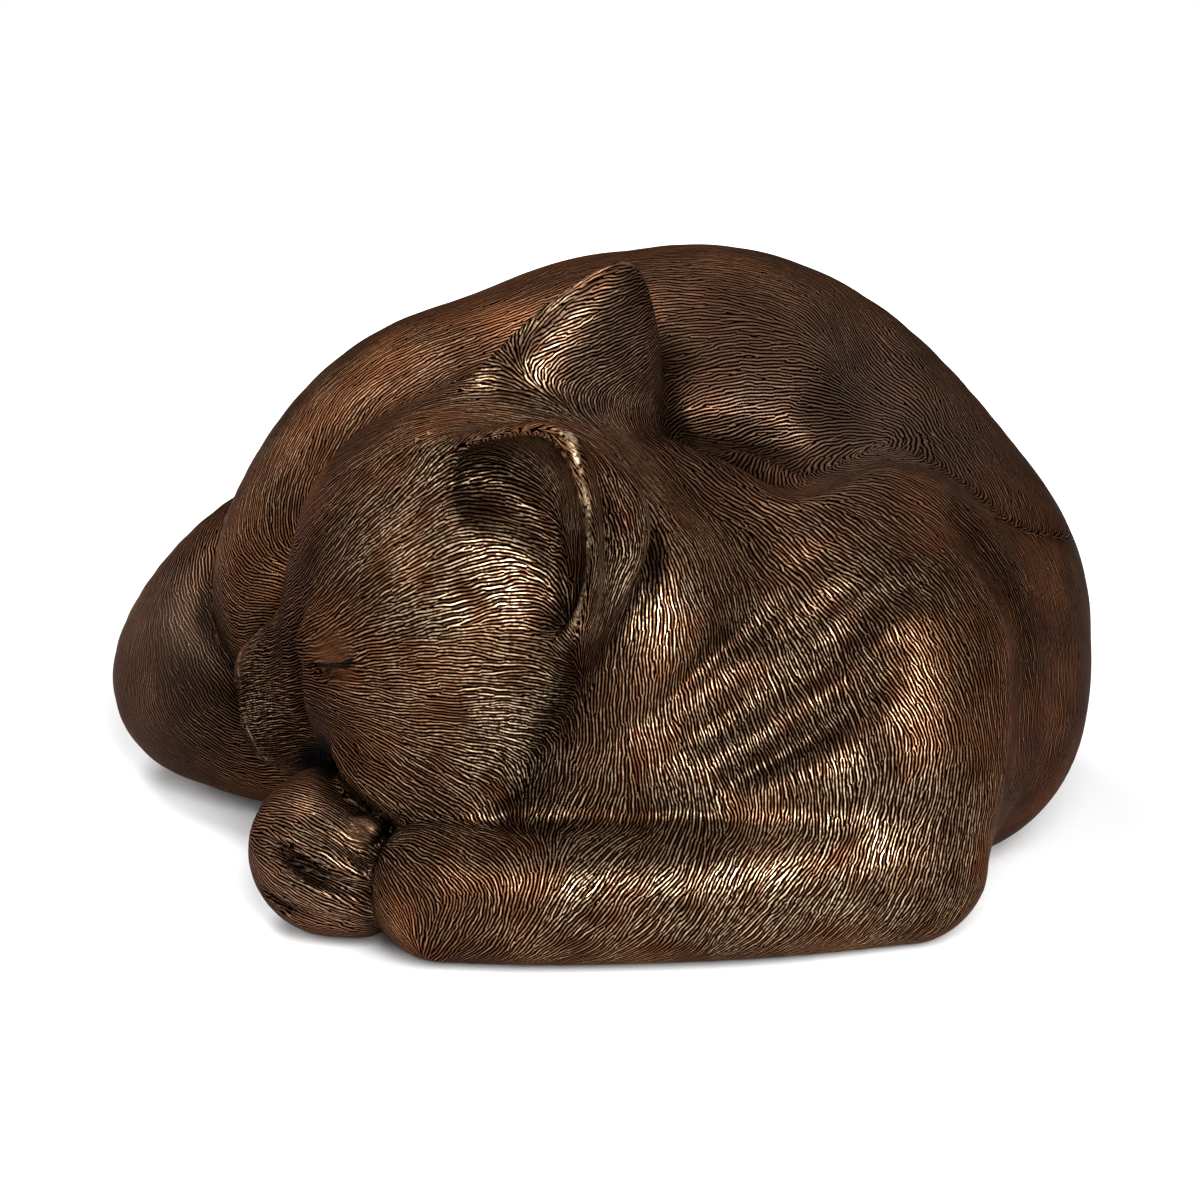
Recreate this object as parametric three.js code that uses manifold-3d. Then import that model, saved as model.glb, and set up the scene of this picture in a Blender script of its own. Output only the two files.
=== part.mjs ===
// A sleeping cat curled on the ground: a hollow garden statue cast in sections.
// Millimetres, +Z up. The cat faces -X, its head is at the front left, and its left side faces -Y.
import * as THREE from 'three';
import { mergeVertices } from 'three/addons/utils/BufferGeometryUtils.js';
import Module from 'manifold-3d';

const wasm = await Module();
wasm.setup();

// Fits and walls
const SEAM = 0.4; // gap where two castings meet
const FIT = 0.3; // clearance round hardware
const WALL = 7; // wall of the hollow body
const LIMB_SEAT = 10; // how far the legs and the tail go into the body
const SEAT_EASE = 7; // rounding of their inner ends
const EAR_SEAT = 8; // how far an ear goes into the head
const HEAD_MARGIN = 5; // what the head section takes along where it meets the body

// Trunk: chains are [x, y, z, radius] along the cat, eggs are a centre and three radii
const SPINE = [[72, -20, 56, 46], [85, 18, 58, 56], [78, 52, 67, 57], [43, 73, 91, 62], [8, 75, 94, 59]];
const HAUNCH = [[25, 74, 93, 58], [-18, 70, 88, 57], [-44, 62, 80, 57], [-72, 46, 64, 42], [-80, 28, 52, 27]];
const BELLY = { at: [12, 27, 34], radii: [104, 87, 42] };
const FLANK = { at: [94, 0, 40], radii: [42, 44, 40] };
const SHOULDER = { at: [82, -16, 66], radii: [34, 42, 44] };
const UPPER_ARM = [[82, -34, 64, 31], [84, -50, 42, 28], [82, -58, 24, 22]];
const NECK = [[-15, -8, 86, 42], [20, -2, 74, 41], [55, -8, 66, 42]];
const CHEST = { at: [24, -36, 46], radii: [58, 33, 40] };
const FAR_SHOULDER = { at: [42, 24, 78], radii: [34, 30, 31] };
const THROAT = { at: [-30, -34, 32], radii: [40, 26, 26] };
const RUFF = { at: [8, -38, 72], radii: [34, 29, 42] };
const FLANK_GROOVE = [[90, 72, 152, 5], [85, 51, 146, 11], [80, 28, 133, 12], [57, -8, 122, 10]];

// How softly each trunk form runs into the ones before it
const BROAD_EASE = 14;
const SHOULDER_EASE = 16;
const NECK_EASE = 18;
const FAR_SHOULDER_EASE = 12;
const THROAT_EASE = 8;
const GROOVE_EASE = 12;

// Head: its forms are [forward, left, up] from the head's centre, in the head's own frame
const HEAD_AT = [-34, -16, 88];
const HEAD_YAW = -8;
const HEAD_ROLL = 12;
const HEAD_PITCH_DOWN = 10;
const SKULL = { at: [0, 0, 0], radii: [52, 50, 52] };
const CHEEK = { at: [2, 25, -15], radii: [44, 33, 40] };
const JOWL = { at: [-8, 36, 2], radii: [28, 21, 34] };
const JAW = { at: [2, 39, -33], radii: [30, 22, 23] };
const FACE = [[18, 4, -16, 40], [36, 5, -24, 28], [54, 3, -32, 19]];
const MUZZLE = { at: [58, 9, -36], radii: [18, 14, 15] };
const NOSE = [[46, 0, -14, 12], [58, 0, -19.5, 11], [67, 0, -23, 9.5]];
const CHIN = { at: [59, 0, -46], radii: [15, 12, 11] };
const EAR_BOWL = { at: [-21, 62, 42], radii: [22, 15, 25] }; // the cheek dips into the left ear
const CHEEK_EASE = 14;
const JAW_EASE = 12;
const FACE_EASE = 10;
const MUZZLE_EASE = 6;
const NOSE_EASE = 8;
const BOWL_EASE = 12;

// The head meets the trunk in a crease below CREASE_TOP and flows into it above FLOW_START
const CREASE_EASE = 3;
const FLOW_EASE = 18;
const CREASE_TOP = 90;
const FLOW_START = 130;

// Ears: half cones, hollow at the front
const LEFT_EAR = { base: [-17, 35, 24], tip: [-48, 46, 65], opening: [0.8, 0.6, -0.15] };
const RIGHT_EAR = { base: [-22, -35, 26], tip: [-51, -46, 68], opening: [0.8, -0.6, -0.15] };
const EAR_HALF_WIDTH = 34;
const EAR_DEPTH = 20;
const EAR_WALL = 5;
const EAR_ROUNDING = 2.5;
const EAR_SLOWNESS = 1.35; // how late an ear starts to narrow
const EAR_FULLNESS = 0.8; // how blunt its tip is
const EAR_WRAP = THREE.MathUtils.degToRad(102); // how far the rims come round, each way
const EAR_LEVELS = 9;
const EAR_SIDES = 12;

// Legs and tail
const FORELEG = [[82, -60, 22, 24], [40, -74, 20, 20], [-10, -78, 19, 19], [-42, -76, 20, 20]];
const FAR_PAW = [
  [-30, -20, 26, 17],
  [-60, -35, 25, 17],
  [-76, -49, 23, 19],
  [-75, -60, 20, 19],
  [-66, -66, 17, 15],
];
const TOE_GROOVES = [
  [[-78, -70, 36, 1], [-70, -74, 33, 2], [-62, -75, 28, 2]],
  [[-89, -68, 30, 1], [-82, -74, 27, 2], [-73, -79, 23, 2.2], [-63, -80, 21, 1.5]],
  [[-91, -68, 16, 0.8], [-79, -78, 12, 1.8], [-67, -80, 11, 1]],
];
const TOE_EASE = 3;
const TAIL = [
  [-62, 86, 66, 34],
  [-102, 80, 47, 30],
  [-119, 54, 31, 27],
  [-106, 33, 27, 23],
  [-88, 18, 25, 20],
  [-72, 8, 23, 18],
];

// Neck joint: a flat cut across the neck, square to NECK_AXIS
const NECK_CUT_AT = [14, -6, 80];
const NECK_AXIS = [0.93, 0, -0.37];

// Steel dowels: the centre lies on the seam, the axis points into the body
const DOWEL_RADIUS = 4;
const DOWEL_LENGTH = 36;
const FORELEG_DOWEL = { at: [72, -63, 21.5], axis: [0.95, 0.31, 0.05] };
const PAW_DOWEL = { at: [-57, -33, 15], axis: [0.89, 0.45, 0] };
const TAIL_DOWEL = { at: [-80, 84, 58], axis: [0.76, -0.46, 0.46] };

// Underside: an oval plate closes the hollow and stands on four rubber feet
const PLATE_AT = [3, 25];
const PLATE_HALF = [62, 46];
const PLATE_THICKNESS = 5;
const LEDGE_WIDTH = 14;
const LEDGE_HEIGHT = 6;
const FOOT_RADIUS = 8;
const FOOT_THICKNESS = 3;
const FOOT_PROUD = 1.2;
const FOOT_INSET = 11;
const FOOT_ANGLES = [40, 140, 220, 320];
const SCREW_RADIUS = 2;
const SCREW_LENGTH = 18;
const SCREW_HEAD_RADIUS = 4;
const SCREW_HEAD_HEIGHT = 2.4;
const SCREW_SLOT_WIDTH = 1.2;
const SCREW_SLOT_DEPTH = 1;
const SCREW_INSET = 7;
const SCREW_ANGLES = [75, 105, 255, 285];
const BOSS_WALL = 4;
const BOSS_END = 2; // material past a screw's point
const PLUG_RADIUS = 8;
const PLUG_FLANGE_RADIUS = 11;
const PLUG_FLANGE_THICKNESS = 1.8;
const PLUG_GRIP = 3; // how far the stopper stands inside the plate

// Facet sizes
const BODY_FACET = 12;
const HEAD_FACET = 6.6;
const LIMB_FACET = 9;
const PAW_FACET = 5.6;
const JOINT_FACET = 18;
const HOLLOW_FACET = 22;
const ROUND_SIDES = 16;

// Finishes
const BRONZE = new THREE.MeshStandardMaterial({ color: 0x4a3020, roughness: 0.45, metalness: 0.55 });
const RESIN = new THREE.MeshStandardMaterial({ color: 0x2c2420, roughness: 0.7, metalness: 0 });
const STEEL = new THREE.MeshStandardMaterial({ color: 0x9a9c9e, roughness: 0.35, metalness: 1 });
const RUBBER = new THREE.MeshStandardMaterial({ color: 0x1a1a1a, roughness: 0.9, metalness: 0 });

const vector = (xyz) => new THREE.Vector3(...xyz);
const WORLD_AXES = [vector([1, 0, 0]), vector([0, 1, 0]), vector([0, 0, 1])];

// Forms: a form is a distance to its surface, negative inside, and a box that holds the surface

function smoothMin(a, b, width) {
  if (width === 0) return Math.min(a, b);
  const h = Math.max(width - Math.abs(a - b), 0) / width;
  return Math.min(a, b) - (h * h * width) / 4;
}

const smoothMax = (a, b, width) => -smoothMin(-a, -b, width);

function egg({ at, radii }, place = vector, axes = WORLD_AXES) {
  const centre = place(at);
  const point = new THREE.Vector3();
  const reach = Math.max(...radii);
  const distance = (x, y, z) => {
    point.set(x, y, z).sub(centre);
    const along = axes.map((axis) => point.dot(axis));
    const near = Math.hypot(...along.map((d, i) => d / radii[i]));
    const steep = Math.hypot(...along.map((d, i) => d / radii[i] ** 2)) + 1e-9;
    return (near * (near - 1)) / steep;
  };
  const box = new THREE.Box3(centre.clone(), centre.clone()).expandByScalar(reach);
  return { distance, box };
}

// A smooth curve through the chosen points, radius included, in CURVE_STEPS pieces a span
const CURVE_STEPS = 4;
function curveThrough(points) {
  const mirror = (a, b) => a.map((v, i) => 2 * v - b[i]);
  const all = [mirror(points[0], points[1]), ...points, mirror(points.at(-1), points.at(-2))];
  const curve = [];
  for (let span = 0; span < points.length - 1; span++) {
    const [p, q, r, s] = all.slice(span, span + 4);
    for (let step = 0; step < CURVE_STEPS; step++) {
      const t = step / CURVE_STEPS;
      curve.push(q.map((_, i) => 0.5 * (2 * q[i] + (r[i] - p[i]) * t
        + (2 * p[i] - 5 * q[i] + 4 * r[i] - s[i]) * t * t
        + (3 * q[i] - p[i] - 3 * r[i] + s[i]) * t ** 3)));
    }
  }
  return [...curve, points.at(-1)];
}

// A round limb along a chain of points
function limb(points, place = vector) {
  const curve = curveThrough(points.map(([x, y, z, radius]) => [...place([x, y, z]).toArray(), radius]));
  const box = new THREE.Box3();
  for (const [x, y, z, r] of curve) {
    box.expandByPoint(vector([x - r, y - r, z - r]));
    box.expandByPoint(vector([x + r, y + r, z + r]));
  }
  const distance = (x, y, z) => {
    let best = Infinity;
    for (let i = 0; i + 1 < curve.length; i++) {
      const [ax, ay, az, ar] = curve[i];
      const [bx, by, bz, br] = curve[i + 1];
      const [dx, dy, dz] = [bx - ax, by - ay, bz - az];
      const along = ((x - ax) * dx + (y - ay) * dy + (z - az) * dz) / (dx * dx + dy * dy + dz * dz);
      const t = Math.min(Math.max(along, 0), 1);
      const away = Math.hypot(x - ax - t * dx, y - ay - t * dy, z - az - t * dz);
      best = Math.min(best, away - ar - (br - ar) * t);
    }
    return best;
  };
  return { distance, box };
}

// Forms run together, each easing into those before it over its own width
function merged(parts) {
  const box = parts.reduce((all, [part]) => all.union(part.box), new THREE.Box3());
  const distance = (x, y, z) => parts.reduce(
    (d, [part, ease]) => smoothMin(d, part.distance(x, y, z), ease), Infinity);
  return { distance, box };
}

function grooved(part, groove, ease) {
  const distance = (x, y, z) => smoothMax(part.distance(x, y, z), -groove.distance(x, y, z), ease);
  return { distance, box: part.box };
}

const grown = (part, by) => ({
  distance: (x, y, z) => part.distance(x, y, z) - by,
  box: part.box.clone().expandByScalar(by),
});

// A piece that reaches only so deep into the form that carries it
const seated = (part, carrier, depth) => ({
  distance: (x, y, z) => smoothMax(part.distance(x, y, z), -carrier.distance(x, y, z) - depth, SEAT_EASE),
  box: part.box,
});

// The head's own frame: forward to the nose, left, and up to the crown

function headAxes() {
  const [yaw, roll, pitch] = [HEAD_YAW, HEAD_ROLL, HEAD_PITCH_DOWN].map(THREE.MathUtils.degToRad);
  const forward = vector([-Math.cos(yaw), -Math.sin(yaw), 0]);
  const side = vector([Math.sin(yaw), -Math.cos(yaw), 0]);
  const left = side.clone().multiplyScalar(Math.cos(roll)).addScaledVector(WORLD_AXES[2], -Math.sin(roll));
  const crown = WORLD_AXES[2].clone().multiplyScalar(Math.cos(roll)).addScaledVector(side, Math.sin(roll));
  const nose = forward.clone().multiplyScalar(Math.cos(pitch)).addScaledVector(crown, -Math.sin(pitch));
  const up = crown.clone().multiplyScalar(Math.cos(pitch)).addScaledVector(forward, Math.sin(pitch));
  return [nose, left, up];
}

const HEAD_AXES = headAxes();
const turnedWithHead = (flu) => flu.reduce(
  (sum, v, i) => sum.addScaledVector(HEAD_AXES[i], v), vector([0, 0, 0]));
const onHead = (flu) => turnedWithHead(flu).add(vector(HEAD_AT));
const otherSide = ([f, l, u]) => [f, -l, u];
const headEgg = ({ at, radii }) => egg({ at, radii }, onHead, HEAD_AXES);
const headEggPair = ({ at, radii }, ease) => [at, otherSide(at)]
  .map((place) => [headEgg({ at: place, radii }), ease]);

function headForm() {
  const head = merged([
    [headEgg(SKULL), 0],
    ...headEggPair(CHEEK, CHEEK_EASE),
    ...headEggPair(JOWL, JAW_EASE),
    ...headEggPair(JAW, JAW_EASE),
    [limb(FACE, onHead), FACE_EASE],
    ...headEggPair(MUZZLE, MUZZLE_EASE),
    [limb(NOSE, onHead), NOSE_EASE],
    [headEgg(CHIN), MUZZLE_EASE],
  ]);
  return grooved(head, headEgg(EAR_BOWL), BOWL_EASE);
}

function trunkForm() {
  const trunk = merged([
    [limb(SPINE), 0],
    [limb(HAUNCH), BROAD_EASE],
    [egg(BELLY), BROAD_EASE],
    [egg(FLANK), BROAD_EASE],
    [egg(SHOULDER), SHOULDER_EASE],
    [limb(UPPER_ARM), SHOULDER_EASE],
    [limb(NECK), NECK_EASE],
    [egg(CHEST), SHOULDER_EASE],
    [egg(FAR_SHOULDER), FAR_SHOULDER_EASE],
    [egg(RUFF), SHOULDER_EASE],
    [egg(THROAT), THROAT_EASE],
  ]);
  return grooved(trunk, limb(FLANK_GROOVE), GROOVE_EASE);
}

// Trunk and head as one surface: creased round the cheeks, flowing over the nape
function wholeForm(trunk, head) {
  const distance = (x, y, z) => {
    const flow = THREE.MathUtils.smoothstep(z, CREASE_TOP, FLOW_START);
    const ease = THREE.MathUtils.lerp(CREASE_EASE, FLOW_EASE, flow);
    return smoothMin(trunk.distance(x, y, z), head.distance(x, y, z), ease);
  };
  return { distance, box: trunk.box.clone().union(head.box) };
}

// An ear: crescent sections lofted from the root to the tip, hollow towards the front
function earShape(ear) {
  const base = onHead(ear.base);
  const axis = onHead(ear.tip).sub(base);
  const height = axis.length();
  axis.normalize();
  const opening = turnedWithHead(ear.opening);
  opening.addScaledVector(axis, -opening.dot(axis)).normalize();
  const across = axis.clone().cross(opening);
  const flatness = EAR_DEPTH / EAR_HALF_WIDTH;
  const place = (rise, radius, angle) => base.clone()
    .addScaledVector(axis, rise)
    .addScaledVector(across, radius * Math.sin(angle))
    .addScaledVector(opening, -radius * flatness * Math.cos(angle));
  const positions = [];
  for (let level = 0; level <= EAR_LEVELS; level++) {
    const rise = THREE.MathUtils.lerp(-EAR_SEAT, height, Math.sin((Math.PI / 2) * level / EAR_LEVELS));
    const share = THREE.MathUtils.clamp(rise / height, 0, 1);
    const outer = EAR_HALF_WIDTH * (1 - share ** EAR_SLOWNESS) ** EAR_FULLNESS + EAR_ROUNDING;
    const inner = Math.max(outer - EAR_WALL, outer / 2);
    for (let i = 0; i <= EAR_SIDES; i++) {
      positions.push(...place(rise, outer, EAR_WRAP * (2 * i / EAR_SIDES - 1)).toArray());
    }
    for (let i = EAR_SIDES; i >= 0; i--) {
      positions.push(...place(rise, inner, EAR_WRAP * (2 * i / EAR_SIDES - 1)).toArray());
    }
  }
  const ring = 2 * EAR_SIDES + 2;
  const triangles = [];
  const quad = (a, b, c, d) => triangles.push(a, c, b, a, d, c);
  for (let level = 0; level < EAR_LEVELS; level++) {
    for (let i = 0; i < ring; i++) {
      const [here, next] = [level * ring + i, level * ring + ((i + 1) % ring)];
      quad(here, next, next + ring, here + ring);
    }
  }
  const top = EAR_LEVELS * ring;
  for (let i = 0; i < EAR_SIDES; i++) {
    const [a, b, c, d] = [i, i + 1, ring - 2 - i, ring - 1 - i];
    quad(d, c, b, a);
    quad(top + a, top + b, top + c, top + d);
  }
  const geometry = new THREE.BufferGeometry();
  geometry.setAttribute('position', new THREE.Float32BufferAttribute(positions, 3));
  geometry.setIndex(triangles);
  return geometry;
}

// Surfaces: the closed mesh of a form, on a grid of cells

const CORNERS = Array.from({ length: 8 }, (_, i) => [i & 1, (i >> 1) & 1, i >> 2]);
const EDGES = [0, 1, 2].flatMap((axis) => CORNERS.map((_, i) => i)
  .filter((i) => !CORNERS[i][axis])
  .map((i) => [i, i | (1 << axis)]));
const edgeBetween = (a, b) => EDGES.findIndex(([p, q]) => p === Math.min(a, b) && q === Math.max(a, b));
const FACES = [0, 1, 2].flatMap((axis) => [0, 1].map((side) => {
  const [u, v, base] = [1 << ((axis + 1) % 3), 1 << ((axis + 2) % 3), side << axis];
  return [base, base | u, base | u | v, base | v];
}));
const FACE_EDGES = FACES.map((face) => face.map((corner, i) => edgeBetween(corner, face[(i + 1) % 4])));

// The patches of surface in one cell: each is the list of the cell's edges that it crosses
function patchesIn(inside) {
  const crossed = EDGES.map(([a, b]) => inside[a] !== inside[b]);
  const group = EDGES.map((_, i) => i);
  const join = (a, b) => {
    const [from, to] = [group[a], group[b]];
    for (let i = 0; i < group.length; i++) if (group[i] === from) group[i] = to;
  };
  FACES.forEach((face, f) => {
    const edges = FACE_EDGES[f];
    const cut = edges.filter((edge) => crossed[edge]);
    if (cut.length === 2) join(cut[0], cut[1]);
    if (cut.length < 4) return;
    const first = inside[face[0]] ? 3 : 0;
    join(edges[first], edges[(first + 1) % 4]);
    join(edges[(first + 2) % 4], edges[(first + 3) % 4]);
  });
  const patches = new Map();
  crossed.forEach((cut, edge) => {
    if (!cut) return;
    if (!patches.has(group[edge])) patches.set(group[edge], []);
    patches.get(group[edge]).push(edge);
  });
  return [...patches.values()];
}

// Moves a point onto the form's surface, along the steepest way and never far
function settle(form, point, facet) {
  const h = facet / 50;
  for (let pass = 0; pass < 2; pass++) {
    const [x, y, z] = point;
    const d = form.distance(x, y, z);
    const slope = [
      (form.distance(x + h, y, z) - form.distance(x - h, y, z)) / (2 * h),
      (form.distance(x, y + h, z) - form.distance(x, y - h, z)) / (2 * h),
      (form.distance(x, y, z + h) - form.distance(x, y, z - h)) / (2 * h),
    ];
    const steep = Math.max(slope[0] ** 2 + slope[1] ** 2 + slope[2] ** 2, 0.1);
    const step = THREE.MathUtils.clamp(d / steep, -facet / 4, facet / 4);
    point = point.map((v, i) => v - step * slope[i]);
  }
  return point;
}

function surface(form, facet) {
  const low = form.box.min.clone().subScalar(2 * facet);
  const count = form.box.max.clone().addScalar(2 * facet).sub(low).divideScalar(facet).ceil().toArray();
  const nodes = count.map((n) => n + 1);
  const nodeIndex = (i, j, k) => (i * nodes[1] + j) * nodes[2] + k;
  const nodePlace = (i, j, k) => [low.x + i * facet, low.y + j * facet, low.z + k * facet];
  const value = new Float64Array(nodes[0] * nodes[1] * nodes[2]);
  const forEachNode = (ends, visit) => {
    for (let i = 0; i < ends[0]; i++) {
      for (let j = 0; j < ends[1]; j++) {
        for (let k = 0; k < ends[2]; k++) visit(i, j, k);
      }
    }
  };
  forEachNode(nodes, (i, j, k) => {
    value[nodeIndex(i, j, k)] = form.distance(...nodePlace(i, j, k));
  });

  const inside = (node) => value[nodeIndex(...node)] < 0;
  const crossing = (from, to) => {
    const [a, b] = [value[nodeIndex(...from)], value[nodeIndex(...to)]];
    const [start, end] = [nodePlace(...from), nodePlace(...to)];
    return start.map((v, n) => THREE.MathUtils.lerp(v, end[n], a / (a - b)));
  };
  const stepped = (node, axis, by) => node.map((v, n) => (n === axis ? v + by : v));

  const positions = [];
  const addVertex = (crossings) => {
    const total = (n) => crossings.reduce((sum, place) => sum + place[n], 0);
    const middle = [0, 1, 2].map((n) => total(n) / crossings.length);
    positions.push(...settle(form, middle, facet));
    return positions.length / 3 - 1;
  };
  const vertexOf = new Map();
  forEachNode(count, (i, j, k) => {
    const corners = CORNERS.map(([a, b, c]) => [i + a, j + b, k + c]);
    const sides = corners.map(inside);
    if (sides.every((side) => side === sides[0])) return;
    for (const patch of patchesIn(sides)) {
      const ends = patch.map((edge) => EDGES[edge].map((corner) => corners[corner]));
      const vertex = addVertex(ends.map(([start, stop]) => crossing(start, stop)));
      for (const edge of patch) vertexOf.set(nodeIndex(i, j, k) * EDGES.length + edge, vertex);
    }
  });

  // Where a face between two cells is crossed twice, each crossing gets a vertex of its own
  const doubleCrossing = (node, axis, across, by) => {
    const [start, end] = [node, stepped(node, axis, 1)];
    const [far, farEnd] = [stepped(start, across, by), stepped(end, across, by)];
    if (inside(start) !== inside(farEnd) || inside(end) !== inside(far)) return [];
    const corner = inside(start) ? start : end;
    const key = `${nodeIndex(...corner)} ${nodeIndex(...start) + nodeIndex(...farEnd)} ${3 - axis - across}`;
    if (!vertexOf.has(key)) {
      vertexOf.set(key, addVertex([crossing(start, end), crossing(corner, stepped(corner, across, by))]));
    }
    return [vertexOf.get(key)];
  };

  const triangles = [];
  const apart = (a, b) => Math.hypot(...[0, 1, 2].map((n) => positions[3 * a + n] - positions[3 * b + n]));
  forEachNode(count, (i, j, k) => {
    const node = [i, j, k];
    for (let axis = 0; axis < 3; axis++) {
      if (inside(node) === inside(stepped(node, axis, 1))) continue;
      const [u, v] = [(axis + 1) % 3, (axis + 2) % 3];
      const cellVertex = (du, dv) => {
        const corner = (du << u) | (dv << v);
        const cell = stepped(stepped(node, u, -du), v, -dv);
        return vertexOf.get(nodeIndex(...cell) * EDGES.length + edgeBetween(corner, corner | (1 << axis)));
      };
      const ring = [
        cellVertex(0, 0), ...doubleCrossing(node, axis, v, 1),
        cellVertex(1, 0), ...doubleCrossing(node, axis, u, -1),
        cellVertex(1, 1), ...doubleCrossing(node, axis, v, -1),
        cellVertex(0, 1), ...doubleCrossing(node, axis, u, 1),
      ];
      if (!inside(node)) ring.reverse();
      const turn = ring.length === 4 && apart(ring[1], ring[3]) < apart(ring[0], ring[2]) ? 1 : 0;
      const fan = [...ring.slice(turn), ...ring.slice(0, turn)];
      for (let n = 1; n + 1 < fan.length; n++) triangles.push(fan[0], fan[n], fan[n + 1]);
    }
  });
  const geometry = new THREE.BufferGeometry();
  geometry.setAttribute('position', new THREE.Float32BufferAttribute(positions, 3));
  geometry.setIndex(largestShell(triangles, positions.length / 3));
  return geometry;
}

// Specks that come off a grid are left out: the triangles of the largest connected shell
function largestShell(triangles, vertexCount) {
  const parent = Array.from({ length: vertexCount }, (_, i) => i);
  const root = (i) => {
    while (parent[i] !== i) {
      parent[i] = parent[parent[i]];
      i = parent[i];
    }
    return i;
  };
  for (let i = 0; i < triangles.length; i += 3) {
    parent[root(triangles[i + 1])] = root(triangles[i]);
    parent[root(triangles[i + 2])] = root(triangles[i]);
  }
  const size = new Map();
  for (const vertex of triangles) size.set(root(vertex), (size.get(root(vertex)) ?? 0) + 1);
  const [largest] = [...size].reduce((best, next) => (next[1] > best[1] ? next : best));
  return triangles.filter((vertex) => root(vertex) === largest);
}

// Solids: joining and cutting

function solid(geometry) {
  const plain = geometry.clone();
  plain.deleteAttribute('normal');
  plain.deleteAttribute('uv');
  const closed = mergeVertices(plain, 1e-4);
  return new wasm.Manifold(new wasm.Mesh({
    numProp: 3,
    vertProperties: new Float32Array(closed.attributes.position.array),
    triVerts: new Uint32Array(closed.index.array),
  }));
}

// The same surface moved out until every face is a gap away, to cut a seat for it
const STEEPEST = 0.35; // limits the move at a sharp edge
function swollen(geometry, gap) {
  const bigger = geometry.clone();
  bigger.computeVertexNormals();
  const { position, normal } = bigger.attributes;
  const corners = bigger.index.array;
  const point = (i) => new THREE.Vector3().fromBufferAttribute(position, i);
  const outward = (i) => new THREE.Vector3().fromBufferAttribute(normal, i);
  const steepness = new Float32Array(position.count).fill(1);
  for (let i = 0; i < corners.length; i += 3) {
    const face = [corners[i], corners[i + 1], corners[i + 2]];
    const facing = new THREE.Triangle(...face.map(point)).getNormal(new THREE.Vector3());
    for (const vertex of face) steepness[vertex] = Math.min(steepness[vertex], outward(vertex).dot(facing));
  }
  const moved = Array.from({ length: position.count }, (_, i) => point(i)
    .addScaledVector(outward(i), gap / Math.max(steepness[i], STEEPEST)));
  moved.forEach(({ x, y, z }, i) => position.setXYZ(i, x, y, z));
  return solid(bigger);
}

const cut = (whole, tools) => tools.reduce((left, tool) => left.subtract(tool), whole);
const geometryOf = (shape) => {
  const { vertProperties, triVerts } = shape.getMesh();
  const geometry = new THREE.BufferGeometry();
  geometry.setAttribute('position', new THREE.Float32BufferAttribute(vertProperties, 3));
  geometry.setIndex(Array.from(triVerts));
  return geometry;
};

// A round bar about a centre, along an axis
function bar(at, axis, radius, length) {
  const turn = new THREE.Quaternion().setFromUnitVectors(WORLD_AXES[1], vector(axis).normalize());
  const geometry = new THREE.CylinderGeometry(radius, radius, length, ROUND_SIDES);
  return geometry.applyQuaternion(turn).translate(...at);
}

// A bar that stands on a height, for what lies in the plate
const post = ([x, y], radius, low, high) => bar([x, y, (low + high) / 2], [0, 0, 1], radius, high - low);

// An oval slab about the plate's centre, its edge moved out by a margin
function oval(margin, low, high) {
  const outline = new THREE.Shape().absellipse(...PLATE_AT, PLATE_HALF[0] + margin, PLATE_HALF[1] + margin,
    0, 2 * Math.PI);
  const slab = new THREE.ExtrudeGeometry(outline, {
    depth: high - low,
    bevelEnabled: false,
    curveSegments: ROUND_SIDES,
  });
  return slab.translate(0, 0, low);
}

const onPlate = (degrees, inset) => {
  const angle = THREE.MathUtils.degToRad(degrees);
  return [
    PLATE_AT[0] + (PLATE_HALF[0] - inset) * Math.cos(angle),
    PLATE_AT[1] + (PLATE_HALF[1] - inset) * Math.sin(angle),
  ];
};

// Levels of the underside
const UNDERSIDE = FOOT_PROUD;
const PLATE_TOP = UNDERSIDE + PLATE_THICKNESS;
const LEDGE_TOP = PLATE_TOP + FIT + LEDGE_HEIGHT;

// Forms of the castings
const trunk = trunkForm();
const head = headForm();
const whole = wholeForm(trunk, head);
const neckAxis = vector(NECK_AXIS).normalize();
const neckSide = (x, y, z) => vector([x, y, z]).sub(vector(NECK_CUT_AT)).dot(neckAxis);
const headZone = grown(merged([[head, 0], [limb(NECK), NECK_EASE]]), HEAD_MARGIN);

const toes = TOE_GROOVES.map((groove) => limb(groove));
const toedPaw = toes.reduce((paw, groove) => grooved(paw, groove, TOE_EASE), limb(FAR_PAW));
const foreleg = seated(limb(FORELEG), whole, LIMB_SEAT);
const farPaw = seated(toedPaw, whole, LIMB_SEAT);
const tail = seated(limb(TAIL), whole, LIMB_SEAT);

// Dowels, each crossing one seam
const DOWELS = {
  neck_dowel: { at: NECK_CUT_AT, axis: NECK_AXIS },
  foreleg_dowel: FORELEG_DOWEL,
  paw_dowel: PAW_DOWEL,
  tail_dowel: TAIL_DOWEL,
};
const dowel = ({ at, axis }) => bar(at, axis, DOWEL_RADIUS, DOWEL_LENGTH);
const dowelHole = ({ at, axis }) => solid(bar(at, axis, DOWEL_RADIUS + FIT, DOWEL_LENGTH + 2 * FIT));

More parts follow.
